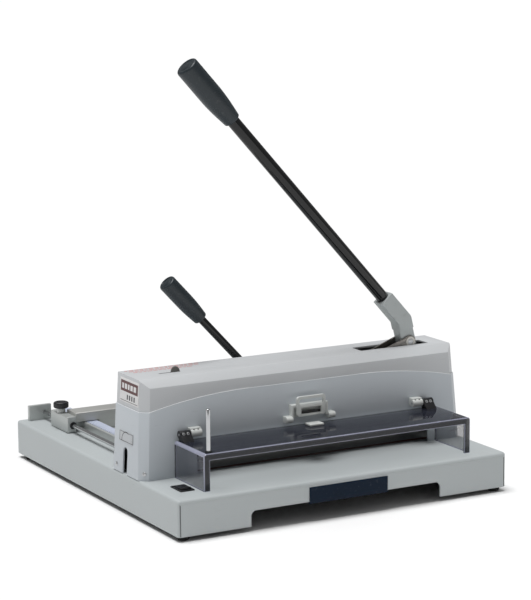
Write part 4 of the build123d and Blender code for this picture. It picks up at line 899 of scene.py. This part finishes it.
class CUTTER_OT_main_lever(bpy.types.Operator):
    """Arm casting, tube, grip, pin and link plates of the main lever"""

    bl_idname = "cutter.main_lever"
    bl_label = "Main lever"

    GRIP_PAST_TUBE = 42.0 * MM

    def execute(self, context):
        sizes = details()
        enamel = finish_of("tube_enamel", gloss_enamel, colours().tube)
        end, run = lever_bar("lever_tube", "lever_tube_bar", LEVER_SLOPE, sizes.tube_diameter, enamel)
        lever_handle(
            "lever_grip", "lever_grip_moulding", end + run * self.GRIP_PAST_TUBE, run, sizes.grip_length,
            sizes.grip_diameter, sizes.grip_neck, sizes.tube_diameter,
        )
        casting = finish_of("arm_casting", cast_coat, colours().casting)
        softened_node("lever_arm", casting, sizes.casting_edge, 4)
        plates = finish_of("link_steel", ground_steel, (0.30, 0.28, 0.26), (40.0, 900.0, 40.0))
        softened_node("link_plates", plates, 0.5 * MM, 2)
        self.pin(sizes)
        return {"FINISHED"}

    def pin(self, sizes):
        """Pin with a chamfered end and a washer on each side."""
        low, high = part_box("link_pin")
        middle = (low + high) / 2
        radius = (high.x - low.x) / 2
        bm = bmesh.new()
        round_bar(bm, (middle.x, low.y, middle.z), (middle.x, high.y, middle.z), radius, 40)
        soften(bm, 0.25 * MM, 2)
        stand_for(publish(bm, "link_pin_bar", bright_steel()), "link_pin")
        bm = bmesh.new()
        thick = 0.4 * MM
        for y in (low.y, high.y - thick):
            outline = (
                (1.05 * radius, 0.0), (1.75 * radius, 0.0), (1.75 * radius, thick), (1.05 * radius, thick),
                (1.05 * radius, 0.0),
            )
            turned(bm, outline, (middle.x, y, middle.z), (0, 1, 0), steps=40)
        tidy_normals(bm)
        washer = finish_of("washer_zinc", ground_steel, (0.50, 0.49, 0.46), (60.0, 60.0, 60.0))
        dress(publish(bm, "pin_washers", washer), "link_pin")


class CUTTER_OT_clamp_lever(bpy.types.Operator):
    """Rod, grip and hub of the clamp lever"""

    bl_idname = "cutter.clamp_lever"
    bl_label = "Clamp lever"

    GRIP_PAST_ROD = 30.0 * MM

    def execute(self, context):
        sizes = details()
        enamel = finish_of("tube_enamel", gloss_enamel, colours().tube)
        end, run = lever_bar("clamp_rod", "clamp_rod_bar", CLAMP_SLOPE, sizes.rod_diameter, enamel)
        lever_handle(
            "clamp_grip", "clamp_grip_moulding", end + run * self.GRIP_PAST_ROD, run, sizes.clamp_grip_length,
            sizes.clamp_grip_diameter, sizes.clamp_grip_neck, sizes.rod_diameter,
        )
        casting = finish_of("arm_casting", cast_coat, colours().casting)
        softened_node("clamp_hub", casting, 0.8 * MM)
        return {"FINISHED"}


# ---------------------------------------------------------------- guard
class CUTTER_OT_guard(bpy.types.Operator):
    """Smoked guard with its ticks, lift rod and tongue"""

    bl_idname = "cutter.guard"
    bl_label = "Guard"

    RIM_WIDTH = 12.0 * MM        # lips and rounded edges are narrower than this
    GLINT_WIDTH = 0.9 * MM       # and the rounded edges than this

    def execute(self, context):
        tint = colours().smoke
        # One smoked sheet in four shades: lips a darker smoke as painted shade, end walls a lighter, clearer
        # smoke as painted light, and the thinnest rounded edges a pale bluish painted highlight.
        edge_highlight = finish_of("guard_glint", smoked_clear, (0.30, 0.31, 0.40), 0.95, 1.0)
        smoke = finish_of("guard_smoke", smoked_clear, tint, 0.88, 0.14, 0.03)
        rim = finish_of("guard_rim", smoked_clear, toned(tint, 0.5), 0.92, 0.5, 0.05)
        side = finish_of("guard_side", smoked_clear, toned(tint, 2.2), 0.42, 0.6)
        bm = copy_of("guard_panel")
        soften(bm, 0.9 * MM, 3)
        for face in bm.faces:
            width = width_of(face)
            if width < self.RIM_WIDTH:
                face.material_index = 3 if width < self.GLINT_WIDTH else 1
            elif abs(face.normal.x) > 0.9:
                face.material_index = 2
        shell = publish(bm, "guard_shell", smoke, extra=(rim, side, edge_highlight))
        shell.visible_shadow = False      # the clear sheet lets the light through to the table
        stand_for(shell, "guard_panel")
        self.ticks()
        self.rod()
        softened_node("guard_tongue", white_moulding(), 0.6 * MM)
        return {"FINISHED"}

    def ticks(self):
        """Four pairs of faint marks along the guard's top."""
        low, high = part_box("guard_panel")
        matrix = Matrix.Translation((low.x, high.y, high.z))
        marks = []
        for spot in (82.6, 114.6, 146.6, 182.6):
            marks += [(spot, -9.0, 1.0, 4.0), (spot + 4.0, -9.0, 1.0, 4.0)]
        bm = bmesh.new()
        strips(bm, matrix, marks, 0.1 * MM)
        pale = finish_of("tick_print", flat_print, (0.30, 0.31, 0.34))
        dress(publish(bm, "guard_ticks", pale), "guard_panel")

    def rod(self):
        """Chromed rod with a domed end, and the dark nut at its foot."""
        low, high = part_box("lift_rod")
        radius = (high.x - low.x) / 2
        tall = high.z - low.z
        foot = ((low.x + high.x) / 2, (low.y + high.y) / 2, low.z)
        outline = [(0.0, 0.0), (radius, 0.0), (radius, tall - 0.5 * radius)]
        for step in range(1, 7):
            turn = pi / 2 * step / 6
            outline.append((radius * cos(turn), tall - 0.5 * radius + 0.5 * radius * sin(turn)))
        bm = bmesh.new()
        turned(bm, outline, foot, (0, 0, 1), steps=48)
        tidy_normals(bm)
        stand_for(publish(bm, "lift_rod_bar", chrome()), "lift_rod")
        bm = bmesh.new()
        collar = (
            (radius, 0.0), (1.7 * radius, 0.0), (1.7 * radius, 2.6 * MM), (1.3 * radius, 3.4 * MM),
            (radius, 3.4 * MM), (radius, 0.0),
        )
        turned(bm, collar, foot, (0, 0, 1), steps=6)
        tidy_normals(bm)
        soften(bm, 0.3 * MM, 2)
        dress(publish(bm, "lift_rod_nut", dark_steel()), "lift_rod")


class CUTTER_OT_hinges(bpy.types.Operator):
    """Black and white halves of the guard's hinges"""

    bl_idname = "cutter.hinges"
    bl_label = "Hinges"

    def execute(self, context):
        softened_node("guard_arms", black_moulding(), 0.8 * MM)
        softened_node("hinge_blocks", white_moulding(), 0.8 * MM)
        # Black dots on the white blocks: painted shade of their screw holes.
        self.plugs("hinge_blocks", "hinge_hole_shade_dots", (0.0, -0.35, 1.0), 1.5 * MM, black_moulding())
        self.plugs("guard_arms", "hinge_screws", (0.0, -1.0, 0.25), 2.6 * MM, bright_steel())
        return {"FINISHED"}

    def plugs(self, node, name, axis, radius, material):
        """Two small screw heads on each hinge barrel; on the white blocks they are black dots of painted
        shade for screw holes.
        """
        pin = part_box("hinge_pins")
        centre_y = (pin[0].y + pin[1].y) / 2
        centre_z = (pin[0].z + pin[1].z) / 2
        reach = centre_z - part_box("hinge_blocks")[0].z
        run = Vector(axis).normalized()
        bm = bmesh.new()
        for low, high in islands(node):
            for share in (0.3, 0.7):
                x = low.x + (high.x - low.x) * share
                foot = Vector((x, centre_y, centre_z)) + run * (reach - 0.4 * MM)
                turned(bm, screw_outline(radius, 0.9 * MM), foot, run, steps=20)
        tidy_normals(bm)
        dress(publish(bm, name, material), node)


class CUTTER_OT_latch(bpy.types.Operator):
    """Guard latch: frame, loop handle and bolt"""

    bl_idname = "cutter.latch"
    bl_label = "Guard latch"

    def execute(self, context):
        softened_node("latch_frame", white_moulding(), 0.8 * MM)
        softened_node("latch_handle", white_moulding(), 1.4 * MM, 4)
        softened_node("latch_bolt", black_moulding(), 0.4 * MM, 2)
        return {"FINISHED"}


# ---------------------------------------------------------------- small controls and gauges
class CUTTER_OT_controls(bpy.types.Operator):
    """Lamp switch and lever lock tab"""

    bl_idname = "cutter.controls"
    bl_label = "Controls"

    def execute(self, context):
        softened_node("switch_bezel", black_moulding(), 0.5 * MM)
        softened_node("switch_rocker", black_moulding(), 0.6 * MM)
        tab = finish_of("lock_tab_moulding", satin_moulding, (0.130, 0.125, 0.115), 0.45)
        softened_node("lock_tab", tab, 0.5 * MM)
        return {"FINISHED"}


class CUTTER_OT_gauges(bpy.types.Operator):
    """Back gauge with its knob and rod, side lay with its scale"""

    bl_idname = "cutter.gauges"
    bl_label = "Gauges"

    def execute(self, context):
        softened_node("gauge_block", gauge_alloy(), 0.8 * MM)
        bar = finish_of("bar_alloy", satin_alloy, (0.50, 0.50, 0.48), (14.0, 900.0, 900.0))
        softened_node("gauge_bar", bar, 0.8 * MM)
        softened_node("side_lay", gauge_alloy(), 0.8 * MM)
        softened_node("rod_brackets", gauge_alloy(), 1.0 * MM)
        low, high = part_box("ruler_strip")
        scale = finish_of(
            "ruler_scale", printed_scale, (0.52, 0.57, 0.70), (0.07, 0.08, 0.14), low.y, low.x
        )
        coat("ruler_strip", scale)
        self.rod()
        self.knob()
        return {"FINISHED"}

    def rod(self):
        """Chromed gauge rod, and a black ring at the block that paints the shade round the rod where it
        leaves.
        """
        low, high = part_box("gauge_rod")
        middle = (low + high) / 2
        bm = bmesh.new()
        round_bar(bm, (middle.x, low.y, middle.z), (middle.x, high.y, middle.z), (high.x - low.x) / 2, 48)
        stand_for(publish(bm, "gauge_rod_bar", chrome()), "gauge_rod")
        # Black ring at the block's face: painted shade round the rod.
        block_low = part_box("gauge_block")[0]
        bm = bmesh.new()
        radius = (high.x - low.x) / 2
        ring = (
            (1.02 * radius, 0.0), (1.7 * radius, 0.0), (1.7 * radius, 0.6 * MM), (1.3 * radius, 1.0 * MM),
            (1.02 * radius, 1.0 * MM), (1.02 * radius, 0.0),
        )
        turned(bm, ring, (middle.x, block_low.y, middle.z), (0, -1, 0), steps=40)
        tidy_normals(bm)
        dress(publish(bm, "gauge_rod_shade_ring", black_moulding()), "gauge_block")

    def knob(self):
        """Fluted knob with a dished top."""
        flutes = details().knob_flutes
        low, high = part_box("gauge_knob")
        radius = (high.x - low.x) / 2
        tall = high.z - low.z
        outline = (
            (0.0, 0.0), (0.84 * radius, 0.0), (0.95 * radius, 0.10 * tall), (radius, 0.16 * tall),
            (radius, 0.84 * tall), (0.95 * radius, 0.93 * tall), (0.84 * radius, tall), (0.70 * radius, tall),
            (0.62 * radius, 0.90 * tall), (0.30 * radius, 0.86 * tall), (0.0, 0.86 * tall),
        )
        centre = Vector(((low.x + high.x) / 2, (low.y + high.y) / 2, low.z))
        bm = bmesh.new()
        turned(bm, outline, centre, (0, 0, 1), steps=4 * flutes)
        for vert in bm.verts:
            arm = Vector((vert.co.x - centre.x, vert.co.y - centre.y, 0.0))
            if arm.length > 0.97 * radius:
                wave = cos(flutes * Vector((arm.x, arm.y)).angle_signed(Vector((1.0, 0.0)), 0.0))
                vert.co -= arm * 0.022 * (1.0 - wave)
        tidy_normals(bm)
        stand_for(publish(bm, "fluted_knob", black_moulding(), 50.0), "gauge_knob")


# ---------------------------------------------------------------- inside
class CUTTER_OT_inside(bpy.types.Operator):
    """Finishes of the frame, blade carrier, clamp and other inner pieces"""

    bl_idname = "cutter.inside"
    bl_label = "Inside"

    def execute(self, context):
        stick = finish_of("stick_red", satin_moulding, (0.11, 0.014, 0.012), 0.55)
        bronze = finish_of("bearing_bronze", ground_steel, (0.50, 0.32, 0.13), (40.0, 40.0, 40.0))
        lamp = finish_of("lamp_black", satin_moulding, (0.015, 0.015, 0.017), 0.30)
        blade = finish_of("blade_steel", ground_steel, (0.60, 0.61, 0.62))
        inner = {
            dark_steel(): (
                "bottom_pan", "foot_brackets", "table_channels", "side_frames", "guide_beam",
                "rear_beam", "blade_carrier", "blade_bolts", "guide_blocks", "clamp_bar",
                "clamp_riser", "clamp_rods", "clamp_guides", "clamp_crank",
            ),
            bright_steel(): ("lever_axle", "lever_spring", "clamp_shaft", "clamp_springs", "hinge_pins"),
            blade: ("blade",),
            stick: ("cutting_stick",),
            bronze: ("shaft_bushes",),
            lamp: ("line_lamp",),
        }
        for material, nodes in inner.items():
            for node in nodes:
                coat(node, material)
        return {"FINISHED"}


# ---------------------------------------------------------------- stage
class CUTTER_OT_stage(bpy.types.Operator):
    """Pale floor, soft light and the camera"""

    bl_idname = "cutter.stage"
    bl_label = "Stage"

    def execute(self, context):
        stage = context.scene.cutter_stage
        context.scene.view_settings.view_transform = "Standard"
        self.floor(stage)
        self.lights(stage)
        self.camera(stage)
        return {"FINISHED"}

    def floor(self, stage):
        """Plain pale floor."""
        bm = bmesh.new()
        bmesh.ops.create_grid(bm, x_segments=1, y_segments=1, size=stage.floor_side / 2)
        pale = Finish("pale_floor", {"Roughness": 0.9, "Specular IOR Level": 0.1})
        cloud = pale.noise(0.8, detail=3.0)
        surface = pale.done(pale.mix(cloud, (0.90, 0.90, 0.90), (0.93, 0.93, 0.93)))
        publish(bm, "floor", surface)

    def lights(self, stage):
        """An even white sky and a wide soft sun high above, a little to the left and behind."""
        world = bpy.data.worlds.new("studio")
        bpy.context.scene.world = world
        world.use_nodes = True
        sky = world.node_tree.nodes["Background"]
        sky.inputs["Color"].default_value = (1.0, 1.0, 1.0, 1.0)
        sky.inputs["Strength"].default_value = stage.sky_power
        sun = bpy.data.lights.new("key", "SUN")
        sun.energy = stage.key_power
        sun.angle = radians(35.0)
        spot = (-0.45, 0.15, 3.0)
        lamp = bpy.data.objects.new("key", sun)
        bpy.context.scene.collection.objects.link(lamp)
        lamp.matrix_world = frame_at(spot, spot)

    def camera(self, stage):
        """The camera, by its place, azimuth, elevation and roll."""
        azimuth, elevation, roll = stage.camera_turn
        back = Vector((sin(azimuth) * cos(elevation), -cos(azimuth) * cos(elevation), sin(elevation)))
        right = Vector((0.0, 0.0, 1.0)).cross(back).normalized()
        up = back.cross(right)
        rolled_right = right * cos(roll) + up * sin(roll)
        rolled_up = up * cos(roll) - right * sin(roll)
        lens = bpy.data.cameras.new("camera")
        lens.sensor_fit = "VERTICAL"
        lens.sensor_height = 36.0
        lens.lens = stage.camera_lens
        lens.clip_end = 200.0
        camera = bpy.data.objects.new("camera", lens)
        bpy.context.scene.collection.objects.link(camera)
        turn = Matrix((rolled_right, rolled_up, back)).transposed().to_4x4()
        camera.matrix_world = Matrix.Translation(Vector(stage.camera_place)) @ turn
        bpy.context.scene.camera = camera


class CUTTER_PT_panel(bpy.types.Panel):
    """Lists the cutter's settings and operators"""

    bl_idname = "CUTTER_PT_panel"
    bl_label = "Stack Cutter"
    bl_space_type = "VIEW_3D"
    bl_region_type = "UI"
    bl_category = "Stack Cutter"

    def draw(self, context):
        scene = context.scene
        for heading, group in (
            ("Colours", scene.cutter_colours),
            ("Details", scene.cutter_details),
            ("Stage", scene.cutter_stage),
        ):
            box = self.layout.box()
            box.label(text=heading)
            for name in group.__annotations__:
                box.prop(group, name)
        for maker in MAKERS:
            self.layout.operator(maker.bl_idname)


MAKERS = (
    CUTTER_OT_base,
    CUTTER_OT_head,
    CUTTER_OT_labels,
    CUTTER_OT_main_lever,
    CUTTER_OT_clamp_lever,
    CUTTER_OT_guard,
    CUTTER_OT_hinges,
    CUTTER_OT_latch,
    CUTTER_OT_controls,
    CUTTER_OT_gauges,
    CUTTER_OT_inside,
    CUTTER_OT_stage,
)
GROUPS = (CutterColours, CutterDetails, CutterStage)
CLASSES = GROUPS + MAKERS + (CUTTER_PT_panel,)


def register():
    """Register the classes and the scene's settings."""
    for item in CLASSES:
        bpy.utils.register_class(item)
    bpy.types.Scene.cutter_colours = bpy.props.PointerProperty(type=CutterColours)
    bpy.types.Scene.cutter_details = bpy.props.PointerProperty(type=CutterDetails)
    bpy.types.Scene.cutter_stage = bpy.props.PointerProperty(type=CutterStage)


def unregister():
    """Take the settings and the classes away again."""
    del bpy.types.Scene.cutter_stage
    del bpy.types.Scene.cutter_details
    del bpy.types.Scene.cutter_colours
    for item in reversed(CLASSES):
        bpy.utils.unregister_class(item)


def main():
    """Build every piece and the stage."""
    register()
    for maker in MAKERS:
        group, name = maker.bl_idname.split(".")
        getattr(getattr(bpy.ops, group), name)()


if __name__ == "__main__":
    main()
